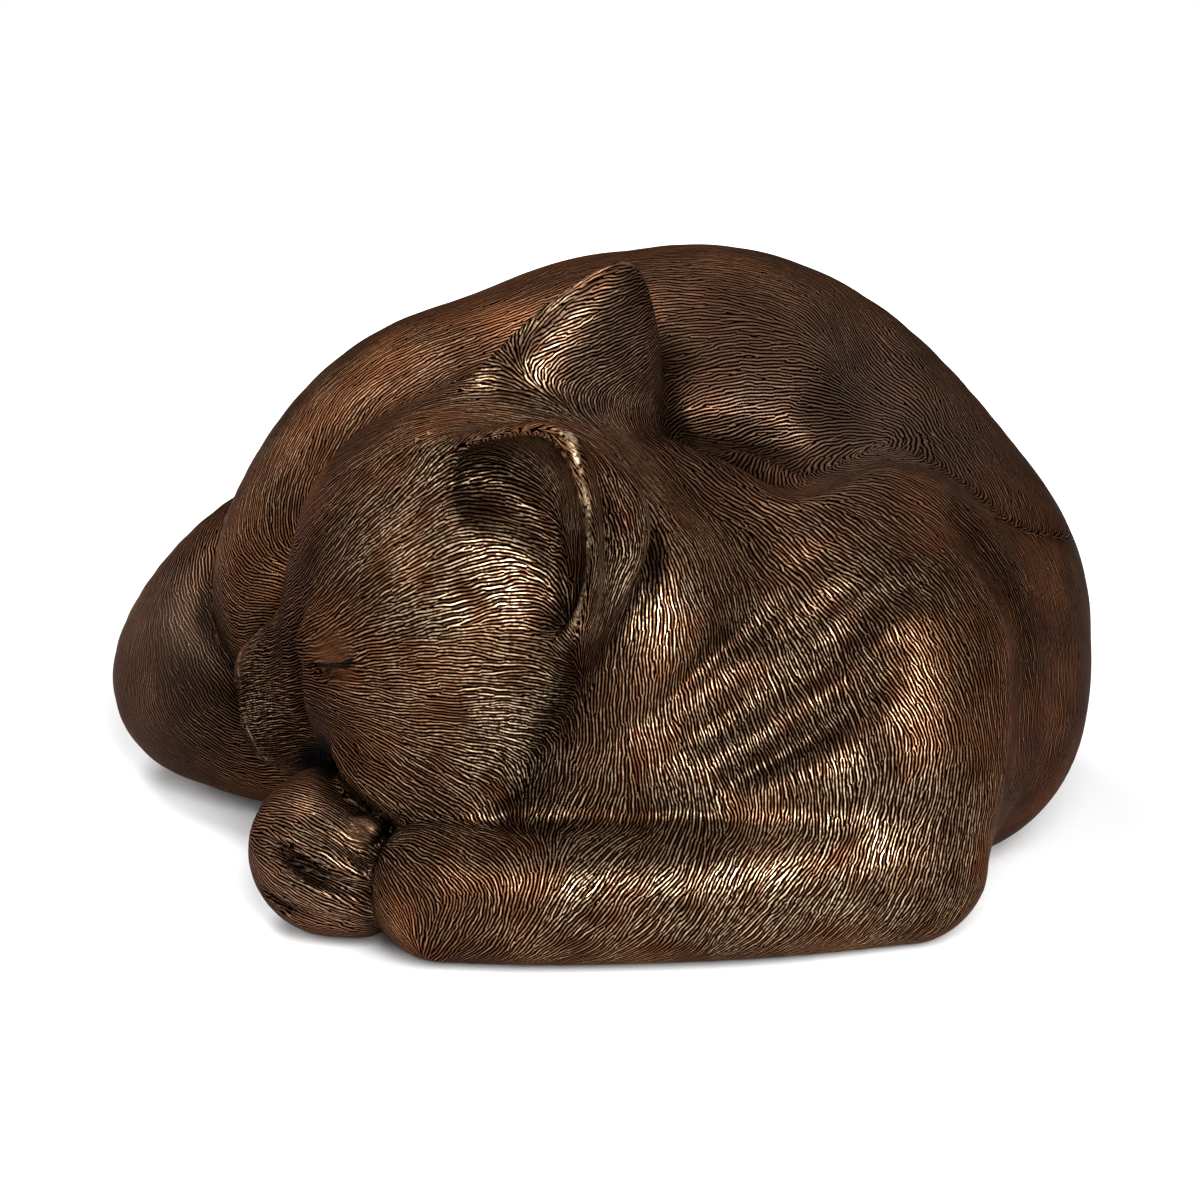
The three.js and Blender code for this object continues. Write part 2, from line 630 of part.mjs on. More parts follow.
// The hollow keeps a wall inside the trunk, round each seat and round each dowel
function hollowForm() {
  const room = merged([
    [limb(SPINE), 0],
    [limb(HAUNCH), BROAD_EASE],
    [grown(egg(BELLY), -2 * WALL), BROAD_EASE],
  ]);
  const sleeves = Object.values(DOWELS).map(({ at, axis }) => {
    const half = vector(axis).normalize().multiplyScalar(DOWEL_LENGTH / 2);
    const ends = [vector(at).sub(half), vector(at).add(half)];
    return limb(ends.map((end) => [...end.toArray(), DOWEL_RADIUS]));
  });
  const neighbours = [foreleg, farPaw, tail, ...sleeves];
  const distance = (x, y, z) => {
    const fromHead = Math.max(headZone.distance(x, y, z), neckSide(x, y, z));
    const nearest = Math.min(fromHead, ...neighbours.map((part) => part.distance(x, y, z)));
    return Math.max(room.distance(x, y, z) + WALL, WALL - nearest, LEDGE_TOP - z);
  };
  return { distance, box: room.box };
}

// Everything on the head's side of the neck joint, and everything below the underside
function halfSpace(at, axis, size) {
  const turn = new THREE.Quaternion().setFromUnitVectors(WORLD_AXES[0], vector(axis).normalize());
  const box = new THREE.BoxGeometry(size, size, size).translate(-size / 2, 0, 0);
  return solid(box.applyQuaternion(turn).translate(...at));
}

const reach = whole.box.getSize(new THREE.Vector3()).length();
const ground = halfSpace([0, 0, UNDERSIDE], [0, 0, 1], 2 * reach);
const headSide = halfSpace(NECK_CUT_AT, NECK_AXIS, 2 * reach);

// Legs, tail and ears first, because the body and the head are cut to seat them
const limbShapes = {
  left_foreleg: surface(foreleg, LIMB_FACET),
  right_forepaw: surface(farPaw, PAW_FACET),
  tail: surface(tail, LIMB_FACET),
  left_ear: earShape(LEFT_EAR),
  right_ear: earShape(RIGHT_EAR),
};
const seats = Object.values(limbShapes).map((shape) => swollen(shape, SEAM));

function headCasting() {
  const zone = solid(surface(headZone, JOINT_FACET)).intersect(headSide);
  const skin = solid(surface(boxed(whole, headZone.box), HEAD_FACET));
  return cut(skin.intersect(zone), [...seats, dowelHole(DOWELS.neck_dowel)]);
}

// A form kept inside a box, with room round it
function boxed(form, room) {
  const box = room.clone().expandByScalar(HEAD_MARGIN);
  const { min, max } = box;
  const distance = (x, y, z) => Math.max(form.distance(x, y, z), min.x - x, x - max.x, min.y - y, y - max.y,
    min.z - z, z - max.z);
  return { distance, box };
}

function screwShape(clearance) {
  const profile = [
    [0, -clearance],
    [SCREW_HEAD_RADIUS + clearance, -clearance],
    [SCREW_HEAD_RADIUS + clearance, 0],
    [SCREW_RADIUS + clearance, SCREW_HEAD_HEIGHT],
    [SCREW_RADIUS + clearance, SCREW_LENGTH + clearance],
    [0, SCREW_LENGTH + clearance],
  ];
  const points = profile.map(([r, h]) => new THREE.Vector2(r, h));
  return new THREE.LatheGeometry(points, ROUND_SIDES / 2).rotateX(Math.PI / 2);
}

// A countersunk screw with a cross slot, its head down
function screwCasting([x, y]) {
  const slot = [SCREW_SLOT_WIDTH, 2 * SCREW_HEAD_RADIUS - 2 * SCREW_SLOT_WIDTH, 2 * SCREW_SLOT_DEPTH];
  const slots = [0, Math.PI / 2].map((turn) => solid(new THREE.BoxGeometry(...slot).rotateZ(turn)));
  return geometryOf(cut(solid(screwShape(0)), slots)).translate(x, y, UNDERSIDE + FIT);
}

const screwHole = ([x, y]) => solid(screwShape(FIT).translate(x, y, UNDERSIDE + FIT));
const footPlaces = FOOT_ANGLES.map((angle) => onPlate(angle, FOOT_INSET));
const screwPlaces = SCREW_ANGLES.map((angle) => onPlate(angle, SCREW_INSET));

function bodyCasting() {
  const headRoom = swollen(geometryOf(solid(surface(headZone, JOINT_FACET)).intersect(headSide)), SEAM);
  const skin = cut(solid(surface(whole, BODY_FACET)), [headRoom, ...seats, ground]);
  const mouth = solid(oval(-LEDGE_WIDTH, -PLATE_THICKNESS, LEDGE_TOP + HOLLOW_FACET));
  const shell = cut(skin, [solid(surface(hollowForm(), HOLLOW_FACET)), mouth]);
  const bossTop = UNDERSIDE + SCREW_LENGTH + 2 * FIT + BOSS_END;
  const bossRadius = SCREW_RADIUS + FIT + BOSS_WALL;
  const bosses = screwPlaces.map((place) => solid(post(place, bossRadius, PLATE_TOP, bossTop)));
  const bossed = bosses.reduce((all, boss) => all.add(boss), shell);
  const recess = solid(oval(FIT, -PLATE_THICKNESS, PLATE_TOP + FIT));
  return cut(bossed, [recess, ...screwPlaces.map(screwHole), ...Object.values(DOWELS).map(dowelHole)]);
}

function basePlate() {
  const plugHole = solid(post(PLATE_AT, PLUG_RADIUS + FIT, -PLATE_THICKNESS, 2 * PLATE_TOP));
  const flangeSeat = solid(post(PLATE_AT, PLUG_FLANGE_RADIUS + FIT, -PLATE_THICKNESS,
    UNDERSIDE + PLUG_FLANGE_THICKNESS + FIT));
  const footSeats = footPlaces.map((place) => solid(post(place, FOOT_RADIUS + FIT, -PLATE_THICKNESS,
    FOOT_THICKNESS + FIT)));
  const plate = solid(oval(0, UNDERSIDE, PLATE_TOP));
  return cut(plate, [plugHole, flangeSeat, ...footSeats, ...screwPlaces.map(screwHole)]);
}

// A rubber stopper for the filling hole: a flange below and a stem with a rounded end
function fillerPlug() {
  const top = PLATE_THICKNESS + PLUG_GRIP;
  const profile = [
    [0, 0],
    [PLUG_FLANGE_RADIUS, 0],
    [PLUG_FLANGE_RADIUS, PLUG_FLANGE_THICKNESS],
    [PLUG_RADIUS, PLUG_FLANGE_THICKNESS],
    [PLUG_RADIUS, top - PLUG_GRIP / 2],
    [PLUG_RADIUS - PLUG_GRIP / 2, top],
    [0, top],
  ];
  const points = profile.map(([r, h]) => new THREE.Vector2(r, h));
  const plug = new THREE.LatheGeometry(points, ROUND_SIDES).rotateX(Math.PI / 2);
  return plug.translate(...PLATE_AT, UNDERSIDE);
}

const meshes = [];
function addPiece(name, geometry, material) {
  const mesh = new THREE.Mesh(geometry, material);
  mesh.name = name;
  meshes.push(mesh);
}

addPiece('body_shell', geometryOf(bodyCasting()), BRONZE);
addPiece('head', geometryOf(headCasting()), BRONZE);
const dowelIn = { left_foreleg: ['foreleg_dowel'], right_forepaw: ['paw_dowel'], tail: ['tail_dowel'] };
for (const [name, shape] of Object.entries(limbShapes)) {
  const holes = (dowelIn[name] ?? []).map((key) => dowelHole(DOWELS[key]));
  const neighbours = name === 'right_forepaw' ? [swollen(limbShapes.left_foreleg, SEAM)] : [];
  addPiece(name, geometryOf(cut(solid(shape), [...neighbours, ground, ...holes])), BRONZE);
}
for (const [name, place] of Object.entries(DOWELS)) addPiece(name, dowel(place), STEEL);
addPiece('base_plate', geometryOf(basePlate()), RESIN);
addPiece('filler_plug', fillerPlug(), RUBBER);
footPlaces.forEach((place, i) => {
  addPiece(`rubber_foot_${i + 1}`, post(place, FOOT_RADIUS, 0, FOOT_THICKNESS), RUBBER);
});
screwPlaces.forEach((place, i) => addPiece(`base_screw_${i + 1}`, screwCasting(place), STEEL));

// The origin is on the ground, under the middle of the statue
const statue = new THREE.Group();
statue.name = 'cat_garden_statue';
statue.add(...meshes);
const middle = new THREE.Box3().setFromObject(statue).getCenter(new THREE.Vector3());
statue.position.set(-middle.x, -middle.y, 0);

export default statue;
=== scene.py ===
"""Sleeping cat garden statue: castings with an engraved coat, on a plate with rubber feet."""
import itertools
import math

import bpy
import numpy as np
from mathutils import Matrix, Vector


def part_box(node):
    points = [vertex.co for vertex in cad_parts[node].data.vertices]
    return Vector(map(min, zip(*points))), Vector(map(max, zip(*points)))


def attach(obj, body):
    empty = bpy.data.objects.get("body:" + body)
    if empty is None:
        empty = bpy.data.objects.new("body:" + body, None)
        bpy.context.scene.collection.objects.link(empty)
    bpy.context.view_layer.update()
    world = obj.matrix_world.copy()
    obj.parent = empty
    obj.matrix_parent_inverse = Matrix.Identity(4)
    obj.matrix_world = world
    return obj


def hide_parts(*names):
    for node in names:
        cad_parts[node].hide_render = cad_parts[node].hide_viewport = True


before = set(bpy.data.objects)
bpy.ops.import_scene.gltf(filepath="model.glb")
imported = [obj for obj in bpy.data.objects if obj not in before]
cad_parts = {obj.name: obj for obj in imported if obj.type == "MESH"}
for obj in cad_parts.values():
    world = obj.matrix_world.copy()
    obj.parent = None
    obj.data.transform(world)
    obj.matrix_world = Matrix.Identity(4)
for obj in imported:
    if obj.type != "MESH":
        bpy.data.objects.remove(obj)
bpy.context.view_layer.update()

bl_info = {
    "name": "Cat garden statue",
    "version": (1, 0, 0),
    "blender": (4, 5, 0),
    "location": "View3D > Sidebar > Statue",
    "description": "Builds a curled sleeping cat cast in pieces, with an engraved bronze coat",
    "category": "Object",
}

MM = 0.001

# Forms of the sculpt, in millimetres: x, y, z and radius at stations along each limb
SPINE = [(72, -20, 56, 46), (85, 18, 58, 56), (78, 52, 67, 57), (43, 73, 91, 62), (8, 75, 94, 59)]
HAUNCH = [(25, 74, 93, 58), (-18, 70, 88, 57), (-44, 62, 80, 57), (-72, 46, 64, 42), (-80, 28, 52, 27)]
UPPER_ARM = [(82, -34, 64, 31), (84, -50, 42, 28), (82, -58, 24, 22)]
NECK = [(-15, -8, 86, 42), (20, -2, 74, 41), (55, -8, 66, 42)]
FORELEG = [(82, -60, 22, 24), (40, -74, 20, 20), (-10, -78, 19, 19), (-42, -76, 20, 20)]
FAR_PAW = [(-30, -20, 26, 17), (-60, -35, 25, 17), (-76, -49, 23, 19), (-75, -60, 20, 19),
           (-66, -66, 17, 15)]
TAIL = [(-62, 86, 66, 34), (-102, 80, 47, 30), (-119, 54, 31, 27), (-106, 33, 27, 23),
        (-88, 18, 25, 20), (-72, 8, 23, 18)]

# Rounded masses of the trunk: centre, radii
BELLY = (12, 27, 34), (104, 87, 42)
FLANK = (94, 0, 40), (42, 44, 40)
SHOULDER = (82, -16, 66), (34, 42, 44)
CHEST = (24, -36, 46), (58, 33, 40)
FAR_SHOULDER = (42, 24, 78), (34, 30, 31)
THROAT = (-30, -34, 32), (40, 26, 26)
RUFF = (8, -38, 72), (34, 29, 42)

# The head: its centre and turn, and its masses as forward, left and up from the centre
HEAD_AT = (-34, -16, 88)
HEAD_TURN = (-8, 12, 10)
SKULL = (0, 0, 0), (52, 50, 52)
CHEEK = (2, 25, -15), (44, 33, 40)
JOWL = (-8, 36, 2), (28, 21, 34)
JAW = (0, 42, -36), (31, 24, 24)
FACE = [(18, 4, -16, 40), (36, 5, -24, 28), (54, 3, -32, 19)]
MUZZLE = (58, 9, -36), (18, 14, 15)
CHIN = (59, 0, -46), (15, 12, 11)
NOSE = [(46, 0, -14, 12), (58, 0, -19.5, 11), (67, 0, -23, 9.5)]
LEFT_EAR = (-17, 35, 24), (-48, 46, 65), (0.8, 0.6, -0.15)
RIGHT_EAR = (-22, -35, 26), (-51, -46, 68), (0.8, -0.6, -0.15)
EAR_HALF_WIDTH = 34
EAR_DEPTH = 20
EAR_WALL = 4.5
EAR_TAPER = 1.35, 0.8
EAR_TIP_RADIUS = 2
EAR_SLOPE = 0.62
EAR_TIP_EASE = 4
EAR_RIM_EASE = 2.5
EAR_RIM_AT = 0.22
EAR_HOLLOW_SHIFT = 0.35
EAR_MARGIN = 0.6
EYELID = (31, 36, 5), (13, 8, 10)
EAR_BOWL = (-21, 62, 42), (22, 15, 25)

# Creases pressed into the skin: stations and the ease of their edges
CREASES = [
    # The dip before the haunch, a toe, the nostril and two more toes
    ([(90, 72, 152, 5), (85, 51, 146, 11), (80, 28, 133, 12), (57, -8, 122, 10)], 12),
    ([(-78, -70, 36, 1), (-70, -74, 33, 2.2), (-62, -75, 28, 2.2)], 2),
    ([(-105, -4, 52, 0.6), (-102, -9, 52.5, 1.2), (-99, -13, 53.5, 0.6)], 2),
    ([(-89, -68, 30, 1.2), (-82, -74, 27, 2.2), (-73, -79, 23, 2.4), (-63, -80, 21, 1.8)], 2),
    ([(-91, -68, 16, 1), (-79, -78, 12, 2), (-67, -80, 11, 1.2)], 2),
    # Wrinkles of the shoulder and the upper arm
    ([(84, -54, 99, 0), (72, -60, 94, 0.4), (62, -64, 81, 0.8), (46, -67, 73, 0.6), (26, -72, 63, 0)], 10),
    ([(78, -68, 81, 0), (66, -70, 69, 0.5), (50, -72, 58, 0.5), (36, -75, 51, 0)], 10),
    ([(60, -48, 101, 0), (46, -54, 91, 0.4), (30, -62, 81, 0.3), (14, -71, 67, 0)], 9),
    ([(100, -26, 108, 0), (117, -40, 84, 0), (119, -54, 52, 0.5), (113, -62, 24, 0)], 14),
    # Valleys behind the neck's crest, the hump, the cheek and the near ear
    ([(22, 8, 121, 1), (34, 4, 119, 3), (48, -1, 116, 4), (62, 1, 116, 4), (72, 6, 119, 3)], 6),
    ([(28, 15, 120.5, 0.5), (38, 14, 120, 2), (50, 12, 118, 3), (62, 9, 116, 2)], 8),
    ([(-15, -84, 84, 1), (-8, -81, 70, 4), (-10, -78, 55, 5), (-17, -78, 46, 3.5), (-25, -77, 43, 0.5)], 3),
    ([(4, -28, 131, 0.5), (9, -36, 124, 1.5), (14, -47, 114, 2), (12, -62, 100, 2), (3, -72, 88, 1.5)], 5),
]

# Folds raised in the same form: shoulder, neck's crest, hump, near ear, cheek, chest and dewclaw
FOLDS = [
    ([(88, -46, 86, 1), (74, -52, 84, 2.5), (58, -56, 74, 2.5), (44, -60, 62, 1)], 18),
    ([(70, -60, 62, 1), (56, -62, 58, 2.5), (40, -64, 46, 1)], 18),
    ([(20, 0, 110, 9), (30, -5, 107, 10), (42, -12, 103, 10), (54, -17, 101, 10), (66, -15, 104, 10),
      (76, -12, 106, 10), (86, -12, 104, 9), (94, -17, 98, 8)], 12),
    ([(28, 8, 112.5, 4), (38, 6, 114, 5), (48, 4, 112, 5), (56, 2, 109, 4)], 5),
    ([(-4, -72, 140, 4), (2, -62, 127, 9), (2, -58, 112, 11), (-3, -64, 96, 8), (-10, -74, 84, 3)], 4),
    ([(-69, -50, 49, 4), (-62, -56, 44, 7), (-50, -63, 42, 9), (-35, -67, 42, 7)], 5),
    ([(-32, -64, 40, 4), (0, -65, 45, 8), (30, -66, 47, 8), (60, -68, 48, 6)], 14),
    ([(-63, -67, 33, 4.2), (-62, -68, 33, 4.2)], 1.5),
]

# Eye slit and edge of the muzzle, as forward, left and up on the head
FACE_CREASES = [
    ([(41, 39.5, 0.5, 0.6), (33, 45.5, 1.2, 1.2), (26, 50, 3, 0.6)], 2),
    ([(45, 31, 10, 0), (47, 31, 2, 0.5), (49, 31, -10, 0.5), (51, 29, -24, 0)], 9),
]

# Strokes that comb the coat: where each starts and ends on the skin
STROKES = [
    ((-64, -63, 72), (-40, -70, 75)), ((-40, -70, 72), (-17, -70, 75)), ((-62, -62, 54), (-35, -61, 38)),
    ((-79, -45, 50), (-63, -54, 39)), ((-68, -57, 90), (-48, -63, 103)), ((-75, -47, 95), (-61, -50, 114)),
    ((-57, -50, 119), (-37, -50, 138)), ((-35, -39, 138), (-8, -36, 138)), ((-97, -8, 69), (-78, -44, 94)),
    ((-99, -10, 58), (-91, -20, 64)), ((-96, -17, 50), (-89, -24, 55)), ((-95, -19, 42), (-89, -24, 45)),
    ((-97, -19, 52), (-82, -47, 66)), ((-94, -20, 40), (-84, -29, 41)), ((-42, -66, 99), (-21, -62, 106)),
    ((-27, -53, 122), (-12, -53, 117)), ((-29, -68, 88), (-13, -65, 84)), ((0, -52, 130), (6, -44, 108)),
    ((2, -10, 131), (16, -16, 120)), ((22, -9, 116), (41, -24, 107)), ((11, -33, 116), (14, -45, 91)),
    ((5, -52, 82), (0, -63, 63)), ((27, -30, 103), (43, -55, 83)), ((55, -27, 108), (78, -53, 97)),
    ((82, -31, 109), (104, -51, 88)), ((75, -59, 90), (93, -70, 66)), ((105, -56, 78), (109, -63, 46)),
    ((88, -75, 57), (80, -83, 31)), ((21, -60, 74), (32, -69, 49)), ((-5, -64, 58), (-15, -64, 38)),
    ((51, -62, 75), (62, -71, 52)), ((126, -5, 89), (131, -22, 56)), ((118, -2, 99), (103, 33, 115)),
    ((-78, 42, 121), (-89, 24, 100)), ((-58, 53, 136), (-75, 48, 125)), ((-127, 41, 54), (-113, 14, 39)),
    ((-23, 58, 147), (-46, 53, 139)), ((58, 58, 150), (29, 60, 155)), ((63, 24, 126), (34, 21, 127)),
    ((78, 53, 139), (67, 65, 148)), ((15, 9, 137), (-11, -12, 146)), ((10, 3, 162), (-8, -6, 159)),
    ((45, 4, 112), (28, 13, 118)), ((-136, 41, 47), (-137, 31, 26)), ((-132, 26, 21), (-108, 14, 11)),
    ((-88, -67, 33), (-68, -78, 26)), ((-89, -73, 18), (-70, -80, 12)), ((11, -91, 32), (-7, -96, 12)),
    ((58, -87, 33), (41, -91, 10)), ((-26, -94, 29), (-39, -93, 10)), ((-45, -87, 36), (-29, -94, 29)),
    ((60, 128, 70), (30, 134, 60)), ((0, 134, 90), (-40, 124, 70)), ((130, 50, 60), (110, 95, 50)),
    ((-60, 115, 60), (-100, 105, 40)), ((-120, 90, 45), (-140, 60, 35)), ((58, -14, 112), (76, -11, 117)),
    ((80, -11, 117), (96, -18, 108)), ((0, -68, 136), (5, -58, 114)), ((5, -60, 112), (-4, -70, 92)),
    ((42, 8, 119), (42, 0, 115)), ((22, 4, 120), (36, -14, 115)),
]

# Patches of gold on the tops of the hairs: a little wear from handling everywhere, and painted highlights where
# the key light glints on the face, neck, shoulder, forelegs and paws: centre, reach, strength
WEAR_AND_HIGHLIGHT = [
    ((0, 20, 80), 400, 0.12), ((-30, -70, 95), 34, 0.8), ((-25, -72, 60), 26, 0.5), ((15, -56, 100), 28, 0.55),
    ((66, -58, 88), 30, 0.6), ((45, -70, 60), 30, 0.5), ((0, -93, 30), 28, 0.8), ((55, -88, 30), 30, 0.8),
    ((-70, -74, 32), 15, 0.7), ((-14, -12, 146), 26, 0.8), ((-86, 33, 109), 30, 0.3), ((85, -80, 30), 25, 0.4),
    ((-20, -62, 126), 14, 0.3), ((5, -50, 116), 20, 0.5), ((-45, -58, 122), 24, 0.5),
    ((-96, -14, 50), 20, 0.5), ((-60, -60, 108), 20, 0.3),
]

# Painted shade where the light falls off on the muzzle, eye, forehead, right flank and tail, and a painted
# shadow at the cheek's edge
PAINTED_SHADE = [
    ((-88, -18, 48), 22, 0.25), ((-82, -42, 84), 20, 0.5), ((-78, -36, 112), 20, 0.2), ((-78, -45, 55), 20, 0.3),
    ((125, -10, 60), 45, 0.4), ((-130, 30, 20), 30, 0.3), ((-111, 15, 42), 24, 0.6),
    ((-7, -80, 88), 10, 0.6), ((-9, -77, 76), 10, 0.6), ((-11, -75, 62), 10, 0.6), ((-17, -75, 48), 10, 0.6),
]

# Patches with few hairs: nose, bend of the tail, eyelid and dewclaw
BARE = [
    ((-104, 0, 58), 8, 1), ((-128, 45, 35), 30, 0.45), ((-72, -57, 79), 7, 0.8), ((-63, -67, 33), 5.5, 1),
]

# Patches where the coat turns greyish, partly patina and partly a painted sheen of the bright surroundings on
# the back, the top, the tail and the paw, and where its hairs are finer
GREY_SHEEN = [
    ((75, 35, 125), 50, 0.6), ((-130, 40, 45), 35, 0.6), ((0, 5, 150), 30, 0.4), ((-80, -70, 25), 22, 0.5),
]
FINE = [((-98, -14, 50), 22, 0.35)]
ROUND_PATCH = 2
FLAT_PATCH = 4

# Painted shade in the eye's slit, the lid's crease and the nostril, and a painted shadow beside the cheek's
# edge: points, half width and strength
FACE_LINES = [
    ([(-78, -51.5, 74.5), (-73, -55.3, 75.5), (-69, -59, 77.3), (-66, -61, 79.5)], 1.3, 3.0),
    ([(-79, -50, 85), (-75, -54, 84), (-70, -57.3, 81), (-66, -61, 79.5)], 1.2, 0.4),
    ([(-103, -6, 53), (-100, -12, 53)], 1.5, 2.0),
    ([(-8, -80, 92), (-11, -78, 80), (-14, -75, 64), (-20, -75, 47), (-27, -78, 41)], 4, 0.9),
]

# Painted highlights along the rims of the near ear, the nose and the lips, in the same form
RIM_HIGHLIGHTS = [
    ([(-10, -79, 150), (-6, -83, 144), (-3, -83, 130)], 1.1, 0.9),
    ([(-3, -83, 130), (-3, -80, 112), (-7, -82, 96)], 0.9, 0.45),
    ([(-96, -2, 67), (-102, -2, 61), (-103, -6, 57), (-102, -8, 52)], 0.9, 0.5),
    ([(-102, -11, 50), (-101, -13, 46), (-99, -16, 40), (-94, -16, 33)], 0.9, 0.5),
]

# The grid that holds the sculpt: its corners, and the distance it starts from
LOW = (-152, -108, -4)
HIGH = (150, 148, 178)
FAR = 60.0
ADD_MARGIN = 8
LEAST_ADD_EASE = 15
CUT_MARGIN = 2

# Ease of the joints of the ears, foreleg, paw and tail. The head's grows towards the nape
JOINT_EASES = (14, 8, 6, 1, 3)
NAPE_START = 90
NAPE_HEIGHT = 40
THROAT_EASE = 3
NAPE_EASE = 15
EYELID_EASE = 4
EAR_BOWL_EASE = 12
UNDERSIDE = 1.2
SETTLE_ROUNDS = 6
SNAP_ROUNDS = 3
SNAP_LIMIT = 0.5

# How a stroke combs the coat: the step to its side of the skin, and its reach
STROKE_STEP = 3.0
STROKE_SIDE = 1.5
STROKE_REACH = 150
EDGE_REACH = 3
COARSE = 0.35
COARSE_FROM = 60

# Shade in folds: steps out from the skin, and the clearance there that is fully open
NEAR_AIR = 7, 6
WIDE_AIR = 10, 8

# The coat: a cell of its pattern in metres, hairs in a lock, and the sway of the hairs
HAIR_CELL = 0.0042
LOCK_HAIRS = 2.3
SWAY_SCALE = 110.0
SWAY = 0.0013
STRAY_SCALE = 100.0
STRAY = 0.7
DASH_SCALE = 900.0
PATCH_SCALE = 110.0
CLOUD_SCALE = 38.0
SHEEN = (0.35, 0.27, 0.2, 1)

# Darker and lighter colour of the plainer finishes
RESIN = (0.02, 0.017, 0.014, 1), (0.045, 0.037, 0.03, 1)
RUBBER = (0.012, 0.012, 0.012, 1), (0.035, 0.034, 0.032, 1)
STEEL = (0.36, 0.35, 0.33, 1), (0.55, 0.54, 0.52, 1)
PAPER = (0.9, 0.9, 0.9, 1), (0.94, 0.94, 0.94, 1)
BLACK = (0, 0, 0, 1)
WHITE = (1, 1, 1, 1)

# A screw's own sizes, in metres
SCREW = {"Head height": 0.0024, "Shank radius": 0.002, "Thread depth": 0.0004, "Point": 0.004,
         "Slot width": 0.0012, "Slot depth": 0.001}
SHARP_ANGLE = 40

CASTINGS = ["body_shell", "head", "left_ear", "right_ear", "left_foreleg", "right_forepaw", "tail"]

CAMERA_AIM = (0, 10, 70)
CAMERA_DISTANCE = 1100
CAMERA_ELEVATION = 20
CAMERA_LENS = 115.5
CAMERA_SENSOR = 36
CAMERA_SHIFT = 0.0033
NECK_DOWEL_AT = (14, -6, 80)

# The floor, in metres, fades to white between the two reaches
FLOOR_RADIUS = 0.7
FLOOR_SIDES = 96
FADE_START = 0.18
FADE_WIDTH = 0.3

# Lights: place from the aim in metres, size in metres and power in watts
LIGHTS = {
    "key": ((0.3, -1.0, 0.65), 0.7, 30),
    "top": ((-0.5, 0.4, 1.1), 0.6, 12),
    "fill": ((-1.0, -0.6, 0.6), 0.6, 4),
    "rim": ((-0.9, 0.7, 0.25), 0.5, 2.5),
}
ROOM_LIGHT = 0.1


def soft_min(a, b, ease):
    """Lower of two distances, with a fillet about as wide as ease."""
    if np.isscalar(ease) and ease <= 0:
        return np.minimum(a, b)
    near = np.maximum(ease - np.abs(a - b), 0) / ease
    return np.minimum(a, b) - near * near * ease / 4


def soft_max(a, b, ease):
    """Higher of two distances, with the same fillet."""
    return -soft_min(-a, -b, ease)


class Form:
    """A distance function with the box that holds its surface."""

    def __init__(self, distance, low, high):
        self.distance = distance
        self.low = np.array(low, float)
        self.high = np.array(high, float)


def egg(at, radii, axes=np.eye(3)):
    """Ellipsoid whose radii run along the rows of axes."""

    def distance(x, y, z):
        sides = [(x - at[0]) * a[0] + (y - at[1]) * a[1] + (z - at[2]) * a[2] for a in axes]
        inner = sum((s / r) ** 2 for s, r in zip(sides, radii))
        slope = sum((s / r ** 2) ** 2 for s, r in zip(sides, radii))
        inner = np.sqrt(inner)
        return inner * (inner - 1) / np.sqrt(slope + 1e-12)

    reach = max(radii)
    return Form(distance, np.array(at) - reach, np.array(at) + reach)


def curve_through(stations, steps):
    """Smooth curve through stations, as rows of the same numbers."""
    points = np.array(stations, float)
    ends = np.vstack([2 * points[0] - points[1], points, 2 * points[-1] - points[-2]])
    rows = []
    for before, start, stop, after in zip(ends, ends[1:], ends[2:], ends[3:]):
        for t in np.arange(steps) / steps:
            turn = 2 * before - 5 * start + 4 * stop - after
            twist = 3 * start - before - 3 * stop + after
            rows.append(0.5 * (2 * start + (stop - before) * t + turn * t * t + twist * t ** 3))
    return np.array(rows + [points[-1]])


def limb(stations, steps=6):
    """Round form whose centre and radius follow a smooth curve."""
    path = curve_through(stations, steps).astype(np.float32)

    def distance(x, y, z):
        nearest = None
        for a, b in zip(path, path[1:]):
            d = b - a
            share = ((x - a[0]) * d[0] + (y - a[1]) * d[1] + (z - a[2]) * d[2]) / (d[:3] @ d[:3])
            share = np.clip(share, 0, 1)
            gap = (x - a[0] - share * d[0]) ** 2 + (y - a[1] - share * d[1]) ** 2
            gap = np.sqrt(gap + (z - a[2] - share * d[2]) ** 2) - a[3] - share * d[3]
            nearest = gap if nearest is None else np.minimum(nearest, gap)
        return nearest

    reach = path[:, 3].max()
    return Form(distance, path[:, :3].min(0) - reach, path[:, :3].max(0) + reach)


def head_axes():
    """Rows that point forward, left and up from the head."""
    yaw, roll, pitch = (math.radians(turn) for turn in HEAD_TURN)
    forward = np.array([-math.cos(yaw), -math.sin(yaw), 0])
    left = np.array([math.sin(yaw), -math.cos(yaw), 0])
    up = np.array([0, 0, 1.0])
    left, up = (left * math.cos(roll) - up * math.sin(roll), up * math.cos(roll) + left * math.sin(roll))
    nose = forward * math.cos(pitch) - up * math.sin(pitch)
    crown = up * math.cos(pitch) + forward * math.sin(pitch)
    return np.stack([nose, left, crown])


HEAD_AXES = head_axes()


def on_head(place):
    """A place on the head, given as forward, left and up."""
    return np.array(HEAD_AT) + np.array(place[:3], float) @ HEAD_AXES


def head_egg(at, radii, side=1):
    return egg(on_head((at[0], at[1] * side, at[2])), radii, HEAD_AXES)


def head_limb(stations):
    return limb([(*on_head(station), station[3]) for station in stations])


